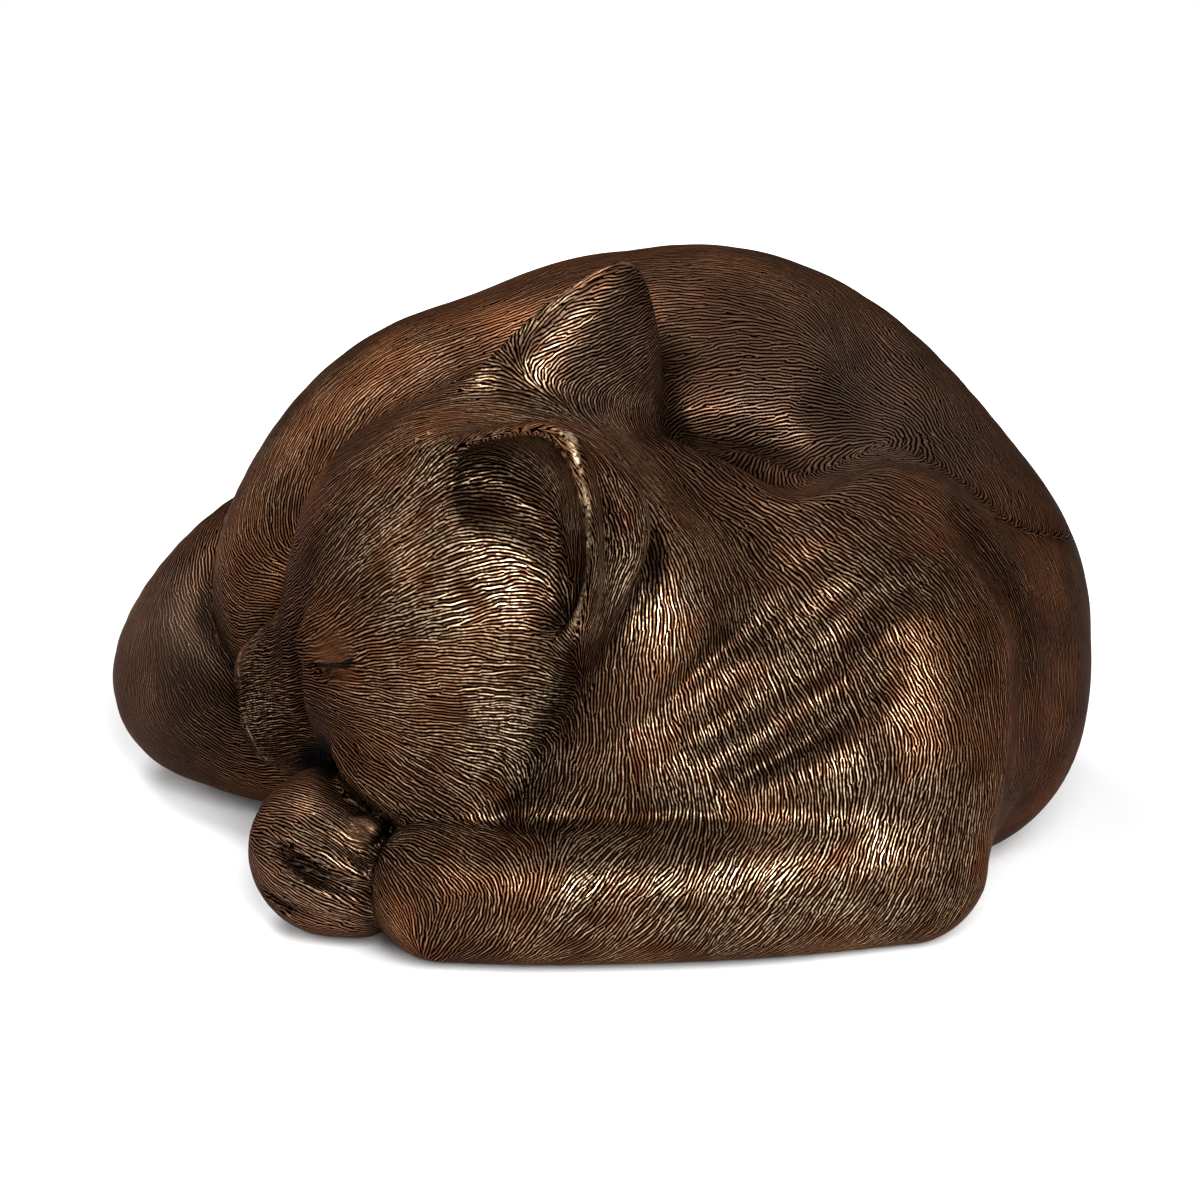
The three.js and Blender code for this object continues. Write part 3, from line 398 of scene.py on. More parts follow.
def ear(base, tip, opening):
    """Half of a hollow cone, open towards the front and side."""
    base, tip = on_head(base), on_head(tip)
    along = tip - base
    height = np.linalg.norm(along)
    along = along / height
    opening = np.array(opening) @ HEAD_AXES
    opening = opening - along * (opening @ along)
    opening = opening / np.linalg.norm(opening)
    across = np.cross(along, opening)
    flat = EAR_DEPTH / EAR_HALF_WIDTH

    def distance(x, y, z):
        sides = [(x - base[0]) * a[0] + (y - base[1]) * a[1] + (z - base[2]) * a[2]
                 for a in (along, opening, across)]
        up, out, wide = sides
        share = np.clip(up / height, 0, 1)
        radius = EAR_HALF_WIDTH * (1 - share ** EAR_TAPER[0]) ** EAR_TAPER[1] + EAR_TIP_RADIUS
        outer = (np.sqrt(wide ** 2 + (out / flat) ** 2) - radius) * EAR_SLOPE
        outer = soft_max(outer, up - height, EAR_TIP_EASE)
        deep = (out - EAR_HOLLOW_SHIFT * EAR_WALL) / flat
        inner = (np.sqrt(wide ** 2 + deep ** 2) - radius + EAR_WALL) * EAR_SLOPE
        inner = soft_max(inner, up - height + EAR_WALL, EAR_TIP_EASE)
        rim = out - EAR_RIM_AT * EAR_DEPTH
        return soft_max(soft_max(outer, -inner, EAR_RIM_EASE), rim, EAR_RIM_EASE)

    reach = (height + EAR_HALF_WIDTH) * EAR_MARGIN
    return Form(distance, np.minimum(base, tip) - reach, np.maximum(base, tip) + reach)


class Field:
    """Distances in millimetres on a regular grid."""

    def __init__(self, pitch):
        self.pitch = pitch
        self.axes = [np.arange(low, high + pitch, pitch, dtype=np.float32) for low, high in zip(LOW, HIGH)]
        self.values = np.full([len(axis) for axis in self.axes], FAR, np.float32)

    def window(self, form, margin):
        """Slices of the grid near a form, and the places of its nodes."""
        part = []
        for axis, low, high in zip(self.axes, form.low - margin, form.high + margin):
            start, stop = np.searchsorted(axis, (low, high))
            part.append(slice(max(start - 1, 0), stop + 1))
        places = np.meshgrid(*[axis[s] for axis, s in zip(self.axes, part)], indexing="ij", sparse=True)
        return tuple(part), places

    def add(self, form, ease=0):
        part, places = self.window(form, max(ease, LEAST_ADD_EASE) + ADD_MARGIN)
        self.values[part] = soft_min(self.values[part], form.distance(*places), ease)
        return self

    def cut(self, form, ease=0):
        part, places = self.window(form, ease + CUT_MARGIN)
        self.values[part] = soft_max(self.values[part], -form.distance(*places), ease)
        return self

    def at(self, points):
        """Distances at any points, between the nodes."""
        place = (points - np.array(LOW)) / self.pitch
        whole = np.clip(np.floor(place).astype(int), 0, np.array(self.values.shape) - 2)
        share = place - whole
        total = np.zeros(len(points))
        for corner in itertools.product((0, 1), repeat=3):
            weight = np.prod(np.where(corner, share, 1 - share), axis=1)
            total += weight * self.values[tuple((whole + corner).T)]
        return total

    def slope(self, points, step):
        """Direction in which the distance grows."""
        sides = [self.at(points + step * axis) - self.at(points - step * axis) for axis in np.eye(3)]
        sides = np.stack(sides, axis=1)
        return sides / np.maximum(np.linalg.norm(sides, axis=1, keepdims=True), 1e-9)


def trunk_field(pitch):
    """The body without its head, legs and tail: each form joins with its own ease."""
    field = Field(pitch)
    forms = [
        (limb(SPINE), 0), (limb(HAUNCH), 14), (egg(*BELLY), 14), (egg(*FLANK), 14), (egg(*SHOULDER), 16),
        (limb(UPPER_ARM), 16), (limb(NECK), 18), (egg(*CHEST), 16), (egg(*FAR_SHOULDER), 12),
        (egg(*RUFF), 16), (egg(*THROAT), 8),
    ]
    for form, ease in forms:
        field.add(form, ease)
    return field


def head_field(pitch):
    """The head without its ears, in the same way."""
    field = Field(pitch)
    forms = [
        (head_egg(*SKULL), 0), (head_egg(*CHEEK), 14), (head_egg(*CHEEK, -1), 14),
        (head_egg(*JOWL), 12), (head_egg(*JAW), 12), (head_egg(*JOWL, -1), 12), (head_egg(*JAW, -1), 12),
        (head_limb(FACE), 10), (head_egg(*MUZZLE), 6), (head_egg(*MUZZLE, -1), 6),
        (head_limb(NOSE), 8), (head_egg(*CHIN), 6),
    ]
    for form, ease in forms:
        field.add(form, ease)
    return field


def sculpt(pitch):
    """Whole distance field, and a number at each node for the casting that it lies in."""
    trunk = trunk_field(pitch)
    head = head_field(pitch)
    parts = [trunk, head]
    for shape in (LEFT_EAR, RIGHT_EAR):
        parts.append(Field(pitch).add(ear(*shape)))
    for stations in (FORELEG, FAR_PAW, TAIL):
        parts.append(Field(pitch).add(limb(stations)))
    height = trunk.axes[2]
    blend = np.clip((height - NAPE_START) / NAPE_HEIGHT, 0, 1)
    blend = THROAT_EASE + NAPE_EASE * blend * blend * (3 - 2 * blend)
    whole = Field(pitch)
    whole.values = soft_min(trunk.values, head.values, blend.astype(np.float32))
    for part, ease in zip(parts[2:], JOINT_EASES):
        whole.values = soft_min(whole.values, part.values, ease)
    for stations, ease in FOLDS:
        whole.add(limb(stations), ease)
    whole.add(head_egg(*EYELID), EYELID_EASE)
    whole.cut(head_egg(*EAR_BOWL), EAR_BOWL_EASE)
    for stations, ease in CREASES:
        whole.cut(limb(stations), ease)
    for stations, ease in FACE_CREASES:
        whole.cut(head_limb(stations), ease)
    whole.values = np.maximum(whole.values, UNDERSIDE - height)
    owner = np.ones(trunk.values.shape, np.int8)
    nearest = trunk.values.copy()
    for number, part in enumerate(parts[1:], start=2):
        closer = part.values < nearest
        owner[closer] = number
        nearest[closer] = part.values[closer]
    owner[whole.values >= 0] = 0
    settle(owner)
    return whole, owner


def settle(owner):
    """Clear labels that stand alone or touch their own kind only across a diagonal."""
    for _ in range(SETTLE_ROUNDS):
        alone = owner > 0
        for axis, step in itertools.product(range(3), (1, -1)):
            alone &= np.roll(owner, step, axis) != owner
        owner[alone] = np.roll(owner, 1, 0)[alone]
        for across, up in ((0, 1), (0, 2), (1, 2)):
            square = []
            for corner in itertools.product((0, 1), repeat=2):
                part = [slice(None)] * 3
                part[across], part[up] = (slice(c, c - 1 or None) for c in corner)
                square.append(owner[tuple(part)])
            a, b, c, d = square
            for one, two, three, four in ((a, b, c, d), (b, a, d, c)):
                clash = (one == four) & (two != one) & (three != one)
                two[clash] = one[clash]


def skin(field, owner):
    """Points of the skin and of the joints inside it, and each casting's four-sided faces."""
    corners = list(itertools.product((0, 1), repeat=3))
    size = np.array(owner.shape) - 1

    def corner_of(grid, corner):
        return grid[tuple(slice(c, c + s) for c, s in zip(corner, size))]

    first = corner_of(owner, (0, 0, 0))
    mixed = np.zeros(first.shape, bool)
    for corner in corners[1:]:
        mixed |= corner_of(owner, corner) != first
    cells = np.argwhere(mixed)
    number = np.full(first.shape, -1, np.int64)
    number[mixed] = np.arange(len(cells))
    total = np.zeros((len(cells), 3))
    count = np.zeros(len(cells))
    for start, stop in itertools.combinations(corners, 2):
        step = np.subtract(stop, start)
        if np.abs(step).sum() != 1:
            continue
        a = corner_of(field.values, start)[mixed]
        b = corner_of(field.values, stop)[mixed]
        crossed = (a < 0) != (b < 0)
        share = np.where(crossed, a / np.where(crossed, a - b, 1), 0)
        total[crossed] += (np.array(start) + share[:, None] * step)[crossed]
        count += crossed
    outer = count > 0
    inside = np.where(outer[:, None], total / np.maximum(count, 1)[:, None], 0.5)
    points = np.array(LOW) + (cells + inside) * field.pitch
    for _ in range(SNAP_ROUNDS):
        facing = field.slope(points[outer], field.pitch * 0.5)
        points[outer] -= facing * np.clip(field.at(points[outer]), -SNAP_LIMIT, SNAP_LIMIT)[:, None]
    faces = {}
    for axis in range(3):
        u, v = (axis + 1) % 3, (axis + 2) % 3
        low = owner[tuple(slice(1 if i != axis else 0, -1) for i in range(3))]
        high = owner[tuple(slice(1, -1 if i != axis else None) for i in range(3))]
        edges = np.argwhere(low != high)
        cell = edges + 1
        cell[:, axis] -= 1
        ring = []
        for du, dv in ((1, 1), (0, 1), (0, 0), (1, 0)):
            at = cell.copy()
            at[:, u] -= du
            at[:, v] -= dv
            ring.append(number[tuple(at.T)])
        ring = np.stack(ring, axis=1)
        below = low[tuple(edges.T)]
        above = high[tuple(edges.T)]
        for k in range(1, owner.max() + 1):
            faces.setdefault(k, []).append(ring[below == k])
            faces[k].append(ring[above == k][:, ::-1])
    return points, {k: np.concatenate(f) for k, f in faces.items()}


def comb(points, facing, field):
    """Directions across the hairs, from the strokes near each point."""
    flow = np.zeros(points.shape)
    for start, stop in STROKES:
        middle = (np.array(start) + stop) / 2.0
        out = field.slope(middle[None], STROKE_STEP)[0]
        gap = ((points - middle) ** 2).sum(1)
        weight = np.exp(STROKE_SIDE * (facing @ out)) / (gap + STROKE_REACH) ** 2
        along = np.subtract(stop, start)
        flow += weight[:, None] * along / np.linalg.norm(along)
    across = np.cross(facing, flow)
    return across / np.maximum(np.linalg.norm(across, axis=1, keepdims=True), 1e-9)


def edges_of(field, points, facing, across):
    """How sharply the skin turns outwards: 0 on flat skin, 1 on a thin rim."""
    along = np.cross(facing, across)
    drops = [field.at(points + side * EDGE_REACH) for side in (across, -across, along, -along)]
    return np.clip(sum(drops) / (2 * EDGE_REACH), 0, 1)


def spots(points, places, falloff):
    """Strength of rounded patches: each is a centre, a reach and a strength."""
    total = np.zeros(len(points))
    for centre, reach, strength in places:
        gap = np.linalg.norm(points - centre, axis=1) / reach
        total += strength * np.exp(-gap ** falloff)
    return np.clip(total, 0, 1)


def coarseness(points, facing):
    """Wider hairs on high skin that faces up, and finer ones on the muzzle."""
    upward = np.clip(facing[:, 2], 0, 1) ** 2
    high = np.clip(points[:, 2] / COARSE_FROM - 1, 0, 1)
    return COARSE * upward * high - spots(points, FINE, ROUND_PATCH)


def openness(field, points, facing):
    """Space in front of the skin: 0 deep in a fold, 1 in the open."""
    share = 1.0
    for step, clear in (NEAR_AIR, WIDE_AIR):
        share = share * np.clip(field.at(points + facing * step) / clear, 0, 1)
    return share


class Value:
    """A node's socket that takes part in Python sums."""

    def __init__(self, tree, socket):
        self.tree = tree
        self.socket = socket

    def maths(self, operation, *others, clamp=False):
        return self.tree.node("ShaderNodeMath", {"operation": operation, "use_clamp": clamp}, self, *others)

    def __add__(self, other):
        return self.maths("ADD", other)

    def __radd__(self, other):
        return self.maths("ADD", other)

    def __sub__(self, other):
        return self.maths("SUBTRACT", other)

    def __rsub__(self, other):
        return self.tree.node("ShaderNodeMath", {"operation": "SUBTRACT"}, other, self)

    def __mul__(self, other):
        return self.maths("MULTIPLY", other)

    def __truediv__(self, other):
        return self.maths("DIVIDE", other)

    def __pow__(self, other):
        return self.maths("POWER", other)

    def __abs__(self):
        return self.maths("ABSOLUTE")

    def held(self):
        """The value kept between 0 and 1."""
        return self.maths("ADD", 0, clamp=True)


class Nodes:
    """A node tree that is written as Python expressions."""

    def __init__(self, tree):
        self.tree = tree

    def plug(self, socket, value):
        if isinstance(value, Value):
            self.tree.links.new(value.socket, socket)
        else:
            socket.default_value = value

    def node(self, kind, settings, *values, output=0, **named):
        """Makes a node, sets it up, then fills its sockets in order and by name."""
        made = self.tree.nodes.new(kind)
        for name, setting in settings.items():
            setattr(made, name, setting)
        for socket, value in zip(made.inputs, values):
            self.plug(socket, value)
        for name, value in named.items():
            self.plug(made.inputs[name.replace("_", " ")], value)
        return Value(self, made.outputs[output])

    def vector(self, operation, *values, output=0, **named):
        return self.node("ShaderNodeVectorMath", {"operation": operation}, *values, output=output, **named)


class Paint(Nodes):
    """A new material."""

    def __init__(self, name):
        self.material = bpy.data.materials.new(name)
        self.material.use_nodes = True
        super().__init__(self.material.node_tree)
        self.shader = self.tree.nodes["Principled BSDF"]

    def place(self):
        return self.node("ShaderNodeTexCoord", {}, output="Object")

    def attribute(self, name, output="Fac"):
        return self.node("ShaderNodeAttribute", {"attribute_name": name}, output=output)

    def noise(self, scale, detail=3.0, stretch=(1, 1, 1), output=0):
        where = self.vector("MULTIPLY", self.place(), stretch)
        return self.node("ShaderNodeTexNoise", {}, Vector=where, Scale=scale, Detail=detail, output=output)

    def mix(self, share, first, second):
        mixed = self.node("ShaderNodeMix", {"data_type": "RGBA"}, share, output=2)
        self.plug(mixed.socket.node.inputs[6], first)
        self.plug(mixed.socket.node.inputs[7], second)
        return mixed

    def lines(self, chains):
        """Strength of thin lines drawn on the skin, through points in the sculpt's millimetres."""
        total = 0.0
        for points, width, strength in chains:
            for start, stop in zip(points, points[1:]):
                start = Vector(np.array(start) * MM + sculpt_offset())
                run = Vector(np.array(stop) * MM + sculpt_offset()) - start
                gap = self.vector("SUBTRACT", self.place(), start)
                along = self.vector("DOT_PRODUCT", gap, run / run.length_squared, output="Value").held()
                near = self.vector("SCALE", run, Scale=along)
                away = self.vector("DISTANCE", gap, near, output="Value")
                total = ((1 - away / (width * MM)) * strength).held().maths("MAXIMUM", total)
        return total

    def strokes(self, where, across, count, output):
        """Lines that follow the hairs: count is how many lie in one cell."""
        lines = self.node("ShaderNodeTexGabor", {"gabor_type": "3D"}, Vector=where, Scale=1 / HAIR_CELL,
                          Frequency=count, Anisotropy=1.0, output=output)
        self.plug(lines.socket.node.inputs[5], across)
        return lines

    def bump(self, height, distance):
        return self.node("ShaderNodeBump", {}, Distance=distance, Height=height, output="Normal")

    def finish(self, **named):
        """Fills the surface shader's sockets by name."""
        for name, value in named.items():
            self.plug(self.shader.inputs[name.replace("_", " ")], value)
        return self.material


class Rule(Nodes):
    """A geometry tree with named inputs for its sizes."""

    def __init__(self, name, sizes):
        super().__init__(bpy.data.node_groups.new(name, "GeometryNodeTree"))
        self.tree.interface.new_socket("Places", in_out="INPUT", socket_type="NodeSocketGeometry")
        for size in sizes:
            self.tree.interface.new_socket(size, in_out="INPUT", socket_type="NodeSocketFloat")
        self.tree.interface.new_socket("Pieces", in_out="OUTPUT", socket_type="NodeSocketGeometry")
        self.inputs = self.tree.nodes.new("NodeGroupInput")

    def size(self, name):
        return Value(self, self.inputs.outputs[name])

    def place(self):
        """Sockets of a point's x, y and z."""
        x = self.node("ShaderNodeSeparateXYZ", {}, self.node("GeometryNodeInputPosition", {}))
        return [Value(self, socket) for socket in x.socket.node.outputs]

    def moved(self, mesh, x, y, z):
        to = self.node("ShaderNodeCombineXYZ", {}, x, y, z)
        return self.node("GeometryNodeSetPosition", {}, Geometry=mesh, Position=to)

    def repeat(self, shape, material):
        """Ends the tree: the shape at each place."""
        copies = self.node("GeometryNodeInstanceOnPoints", {}, Points=self.size("Places"), Instance=shape)
        real = self.node("GeometryNodeRealizeInstances", {}, copies)
        done = self.node("GeometryNodeSetMaterial", {}, Geometry=real, Material=material)
        self.plug(self.tree.nodes.new("NodeGroupOutput").inputs[0], done)
        return self.tree


def colour(rgb):
    return (*rgb, 1.0)


def bronze(settings):
    """Dark engraved coat with golden ridges from wear and painted highlights, and painted shade in folds."""
    paint = Paint("bronze_coat")
    sway = paint.vector("SUBTRACT", paint.noise(SWAY_SCALE, 2.0, output="Color"), (0.5, 0.5, 0.5))
    where = paint.vector("MULTIPLY_ADD", sway, (SWAY,) * 3, paint.place())
    stray = paint.noise(STRAY_SCALE, 1.0, output="Color")
    stray = paint.vector("MULTIPLY_ADD", stray, (STRAY,) * 3, (-STRAY / 2,) * 3)
    across = paint.vector("ADD", paint.attribute("across", "Vector"), stray)
    coarse = paint.attribute("coarse")
    count = HAIR_CELL / settings.hair_pitch
    phase = paint.strokes(where, across, (1 - coarse) * count, "Phase")
    lock = paint.strokes(where, across, (1 - coarse) * (count / LOCK_HAIRS), "Value")
    ridge = 1 - abs(phase * 2 - 1)
    fur = 1 - paint.attribute("bare")
    edge = paint.attribute("edge")
    dash = paint.noise(DASH_SCALE, 2.0)
    patch = paint.noise(PATCH_SCALE, 3.0)
    cloud = paint.noise(CLOUD_SCALE, 5.0)
    drawn = paint.lines(FACE_LINES)

    # Brown hairs with dark grooves, wider where the locks part, and painted shade along the face's dark lines
    hair = 1 - fur * (1 - (ridge * (3 + coarse * 3) - 1.6 + lock * 0.7).held())
    warm = (cloud * 2.6 + lock * 1.8 - 1.9).held()
    brown = paint.mix(warm, colour(settings.brown), colour(settings.copper))
    # Greyish patina, partly a painted sheen, on the grey patches
    brown = paint.mix(paint.attribute("grey_sheen"), brown, colour(settings.patina_and_sheen))
    coat = paint.mix(hair * (0.4 + fur * 0.6) * (1 - drawn), colour(settings.groove), brown)

    # Gold on the tops of the hairs: wear on edges and a little everywhere, and painted highlights in the key-lit
    # patches and along the rims
    wear_and_glint = ((ridge - 0.4) * 2.2).held() * (dash * 2.4 + lock * 2.6 - 2.2).held() * (patch * 3 - 0.9).held()
    wear_and_glint = wear_and_glint * paint.attribute("wear_and_highlight") * fur + (edge * 3 - 1.5).held() * (dash * 3 - 0.5).held() * fur
    wear_and_glint = wear_and_glint.maths("MAXIMUM", paint.lines(RIM_HIGHLIGHTS) * (dash * 4 - 1.5).held())
    coat = paint.mix(wear_and_glint.held(), coat, colour(settings.gold))

    # Painted shade: deep folds and the shaded patches turn towards the groove colour
    light = paint.attribute("open_air") * (1 - paint.attribute("painted_shade") * 0.8)
    coat = paint.mix(light, colour(settings.groove), coat)
    return paint.finish(
        Base_Color=coat,
        Metallic=1 - hair * 0.25 + wear_and_glint * 0.25,
        Roughness=0.42 - wear_and_glint * 0.14 + (1 - hair) * 0.25,
        Specular_IOR_Level=0.35,
        Specular_Tint=SHEEN,
        Normal=paint.bump(hair ** 0.7 - drawn * 2, settings.hair_depth),
    )


def resin():
    paint = Paint("plate_resin")
    grain = paint.noise(900.0, 4.0)
    cloud = paint.noise(35.0)
    return paint.finish(
        Base_Color=paint.mix(cloud, *RESIN),
        Roughness=0.55 + grain * 0.25,
        Normal=paint.bump(grain, 0.00008),
    )


def rubber():
    paint = Paint("foot_rubber")
    grain = paint.noise(1600.0, 2.0)
    return paint.finish(
        Base_Color=paint.mix(grain, *RUBBER),
        Roughness=0.75 + grain * 0.2,
        Normal=paint.bump(grain, 0.00005),
    )


def steel():
    paint = Paint("screw_steel")
    lines = paint.noise(500.0, 3.0, (0.15, 0.15, 4.0))
    return paint.finish(
        Base_Color=paint.mix(lines, *STEEL),
        Metallic=1.0,
        Roughness=0.25 + lines * 0.2,
        Normal=paint.bump(lines, 0.00003),
    )


def ribbed_feet(material):
    """Tree of round feet, ringed with shallow grooves below."""
    rule = Rule("ribbed_feet", ["Radius", "Thickness", "Ring pitch", "Ring depth"])
    disc = rule.node("GeometryNodeMeshCylinder", {"fill_type": "TRIANGLE_FAN"}, Vertices=64, Side_Segments=4,
                     Fill_Segments=24, Radius=rule.size("Radius"), Depth=rule.size("Thickness"))
    x, y, z = rule.place()
    out = (x * x + y * y) ** 0.5
    wave = (out / rule.size("Ring pitch") * 2 * math.pi).maths("COSINE")
    below = (z + rule.size("Thickness") * 0.49).maths("LESS_THAN", 0)
    lift = (1 - wave) * rule.size("Ring depth") * 0.5 * below
    return rule.repeat(rule.moved(disc, x, y, z + lift), material)


def threaded_screws(material):
    """Tree of countersunk screws, head down, with a thread and a cross recess."""
    rule = Rule("threaded_screws", ["Length", "Head radius", "Head height", "Shank radius", "Thread pitch",
                                    "Thread depth", "Point", "Slot width", "Slot depth"])
    length = rule.size("Length")
    bar = rule.node("GeometryNodeMeshCylinder", {"fill_type": "TRIANGLE_FAN"}, Vertices=32, Side_Segments=96,
                    Fill_Segments=4, Radius=1.0, Depth=length)
    x, y, z = rule.place()
    rise = z + length * 0.5
    turn = y.maths("ARCTAN2", x) / (2 * math.pi)
    thread = abs((rise / rule.size("Thread pitch") - turn).maths("FRACT") * 2 - 1)
    neck = (rise / rule.size("Head height") - 1).held()
    tip = ((length - rise) / rule.size("Point")).held()
    shank = (rule.size("Shank radius") - rule.size("Thread depth") * thread * neck) * (0.15 + tip * 0.85)
    head = rule.size("Head radius") - (rule.size("Head radius") - rule.size("Shank radius")) * (
        rise / rule.size("Head height"))
    radius = head.maths("MAXIMUM", shank)
    solid = rule.moved(bar, x * radius, y * radius, z)
    recess = []
    for turned in (0, 1):
        wide = [rule.size("Slot width"), rule.size("Head radius") * 1.3]
        block = rule.node("GeometryNodeMeshCube", {}, rule.node(
            "ShaderNodeCombineXYZ", {}, wide[turned], wide[1 - turned], rule.size("Slot depth") * 2))
        recess.append(rule.node("GeometryNodeTransform", {}, Geometry=block, Translation=rule.node(
            "ShaderNodeCombineXYZ", {}, 0.0, 0.0, length * -0.5)))
    for block in recess:
        solid = rule.node("GeometryNodeMeshBoolean", {"operation": "DIFFERENCE", "solver": "MANIFOLD"},
                          Mesh_1=solid, Mesh_2=block)
    return rule.repeat(solid, material)


def repeated(context, name, tree, nodes, sizes):
    """One plain mesh with the tree's shape in the place of each node."""
    places = [(Vector(low) + Vector(high)) / 2 for low, high in map(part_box, nodes)]
    mesh = bpy.data.meshes.new(name)
    mesh.from_pydata(places, [], [])
    piece = bpy.data.objects.new(name, mesh)
    context.scene.collection.objects.link(piece)
    rule = piece.modifiers.new("rule", "NODES")
    rule.node_group = tree
    for socket in tree.interface.items_tree:
        if socket.name in sizes:
            rule[socket.identifier] = sizes[socket.name]
    made = bpy.data.meshes.new_from_object(piece.evaluated_get(context.evaluated_depsgraph_get()))
    piece.modifiers.clear()
    piece.data = made
    made.shade_smooth()
    made.set_sharp_from_angle(angle=math.radians(SHARP_ANGLE))
    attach(piece, "root")
    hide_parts(*nodes)
    return piece


def sculpt_offset():
    """Metres from the sculpt's own origin to the frame's."""
    low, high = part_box("neck_dowel")
    return (np.array(low) + np.array(high)) / 2 - np.array(NECK_DOWEL_AT) * MM


def shared(name, make):
    """A material made once."""
    return bpy.data.materials.get(name) or make()


def nodes_named(start):
    """Names of the frame's nodes that begin alike."""
    return [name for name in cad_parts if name.startswith(start)]


class StatueSettings(bpy.types.PropertyGroup):
    """Sizes and colours of the statue's finish."""
    skin_pitch: bpy.props.FloatProperty(
        name="Skin pitch", description="Spacing of the points on the castings' skin",
        default=0.0015, min=0.0012, unit="LENGTH", subtype="DISTANCE")
    hair_pitch: bpy.props.FloatProperty(
        name="Hair pitch", description="Distance from one engraved hair to the next",
        default=0.00092, unit="LENGTH", subtype="DISTANCE")
    hair_depth: bpy.props.FloatProperty(
        name="Hair depth", description="Depth of the engraved hairs",
        default=0.00035, unit="LENGTH", subtype="DISTANCE")
    ring_pitch: bpy.props.FloatProperty(
        name="Ring pitch", description="Distance between the rings under a foot",
        default=0.002, unit="LENGTH", subtype="DISTANCE")
    ring_depth: bpy.props.FloatProperty(
        name="Ring depth", description="Depth of the rings under a foot",
        default=0.0004, unit="LENGTH", subtype="DISTANCE")
    thread_pitch: bpy.props.FloatProperty(
        name="Thread pitch", description="Distance between the turns of a screw's thread",
        default=0.0014, unit="LENGTH", subtype="DISTANCE")
    # Also the colour of the painted shade in folds and shaded patches
    groove: bpy.props.FloatVectorProperty(
        name="Groove", description="Colour at the bottom of the hairs and folds",
        default=(0.0015, 0.0007, 0.0004), subtype="COLOR")
    brown: bpy.props.FloatVectorProperty(
        name="Brown", description="Main colour of the coat", default=(0.066, 0.026, 0.012),
        subtype="COLOR")
    copper: bpy.props.FloatVectorProperty(
        name="Copper", description="Warmer patches of the coat", default=(0.23, 0.083, 0.032),
        subtype="COLOR")
    # Greyish patina that partly stands for a painted sheen
    patina_and_sheen: bpy.props.FloatVectorProperty(
        name="Patina", description="Dull patches of the coat", default=(0.13, 0.088, 0.066),
        subtype="COLOR")
    # Gold of wear on edges, and of the painted highlights on hairs and rims
    gold: bpy.props.FloatVectorProperty(
        name="Gold", description="Worn tops of the hairs", default=(1.0, 0.74, 0.47),
        subtype="COLOR")


class StatueOperator(bpy.types.Operator):
    """Shared base of the statue's operators"""
    bl_options = {"REGISTER", "UNDO"}


class STATUE_OT_castings(StatueOperator):
    """Make the seven bronze castings from one sculpted skin"""
    bl_idname = "statue.castings"
    bl_label = "Castings"

    def execute(self, context):
        settings = context.scene.statue
        field, owner = sculpt(settings.skin_pitch / MM)
        points, faces = skin(field, owner)
        facing = field.slope(points, field.pitch)
        across = comb(points, facing, field)
        layers = {
            "across": across,
            "coarse": coarseness(points, facing),
            # Openness of the skin, which paints shade into the folds
            "open_air": openness(field, points, facing),
            "edge": edges_of(field, points, facing, across),
            # Painted highlights, with a little wear, on the tops of the hairs
            "wear_and_highlight": spots(points, WEAR_AND_HIGHLIGHT, ROUND_PATCH),
            "bare": spots(points, BARE, FLAT_PATCH),
            # Painted shade in patches where the light falls off
            "painted_shade": spots(points, PAINTED_SHADE, ROUND_PATCH),
            # Greyish patina and painted sheen in patches
            "grey_sheen": spots(points, GREY_SHEEN, ROUND_PATCH),
        }
        material = bronze(settings)
        places = points * MM + sculpt_offset()
        for number, name in enumerate(CASTINGS, start=1):
            used, ring = np.unique(faces[number], return_inverse=True)
            mesh = bpy.data.meshes.new(f"casting_{name}")
            mesh.from_pydata(places[used], [], ring.reshape(-1, 4))
            mesh.shade_smooth()
            for label, numbers in layers.items():
                kind, key = ("FLOAT", "value") if numbers.ndim == 1 else ("FLOAT_VECTOR", "vector")
                layer = mesh.attributes.new(label, kind, "POINT")
                layer.data.foreach_set(key, numbers[used].ravel())
            mesh.normals_split_custom_set_from_vertices(facing[used])
            mesh.materials.append(material)
            piece = bpy.data.objects.new(f"casting_{name}", mesh)
            context.scene.collection.objects.link(piece)
            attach(piece, "root")
            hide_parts(name)
        return {"FINISHED"}


class STATUE_OT_feet(StatueOperator):
    """Make the ringed rubber feet"""
    bl_idname = "statue.feet"
    bl_label = "Feet"

    def execute(self, context):
        settings = context.scene.statue
        feet = nodes_named("rubber_foot")
        low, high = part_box(feet[0])
        tree = ribbed_feet(shared("foot_rubber", rubber))
        piece = repeated(context, "feet", tree, feet, {
            "Radius": (high[0] - low[0]) / 2, "Thickness": high[2] - low[2],
            "Ring pitch": settings.ring_pitch, "Ring depth": settings.ring_depth})
        return {"FINISHED"}


class STATUE_OT_screws(StatueOperator):
    """Make the threaded screws of the plate"""
    bl_idname = "statue.screws"
    bl_label = "Screws"

    def execute(self, context):
        screws = nodes_named("base_screw")
        low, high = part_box(screws[0])
        tree = threaded_screws(shared("screw_steel", steel))
        piece = repeated(context, "screws", tree, screws, {
            **SCREW, "Length": high[2] - low[2], "Head radius": (high[0] - low[0]) / 2,
            "Thread pitch": context.scene.statue.thread_pitch})
        return {"FINISHED"}


class STATUE_OT_solids(StatueOperator):
    """Finish the plate, plug and dowels, which keep their solids"""
    bl_idname = "statue.solids"
    bl_label = "Plate, plug and dowels"

    def execute(self, context):
        made = [*CASTINGS, *nodes_named("rubber_foot"), *nodes_named("base_screw")]
        for name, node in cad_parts.items():
            if name in made:
                continue
            if "plug" in name:
                material = shared("foot_rubber", rubber)
            elif "dowel" in name:
                material = shared("screw_steel", steel)
            else:
                material = shared("plate_resin", resin)
            node.data.materials.clear()
            node.data.materials.append(material)
        return {"FINISHED"}


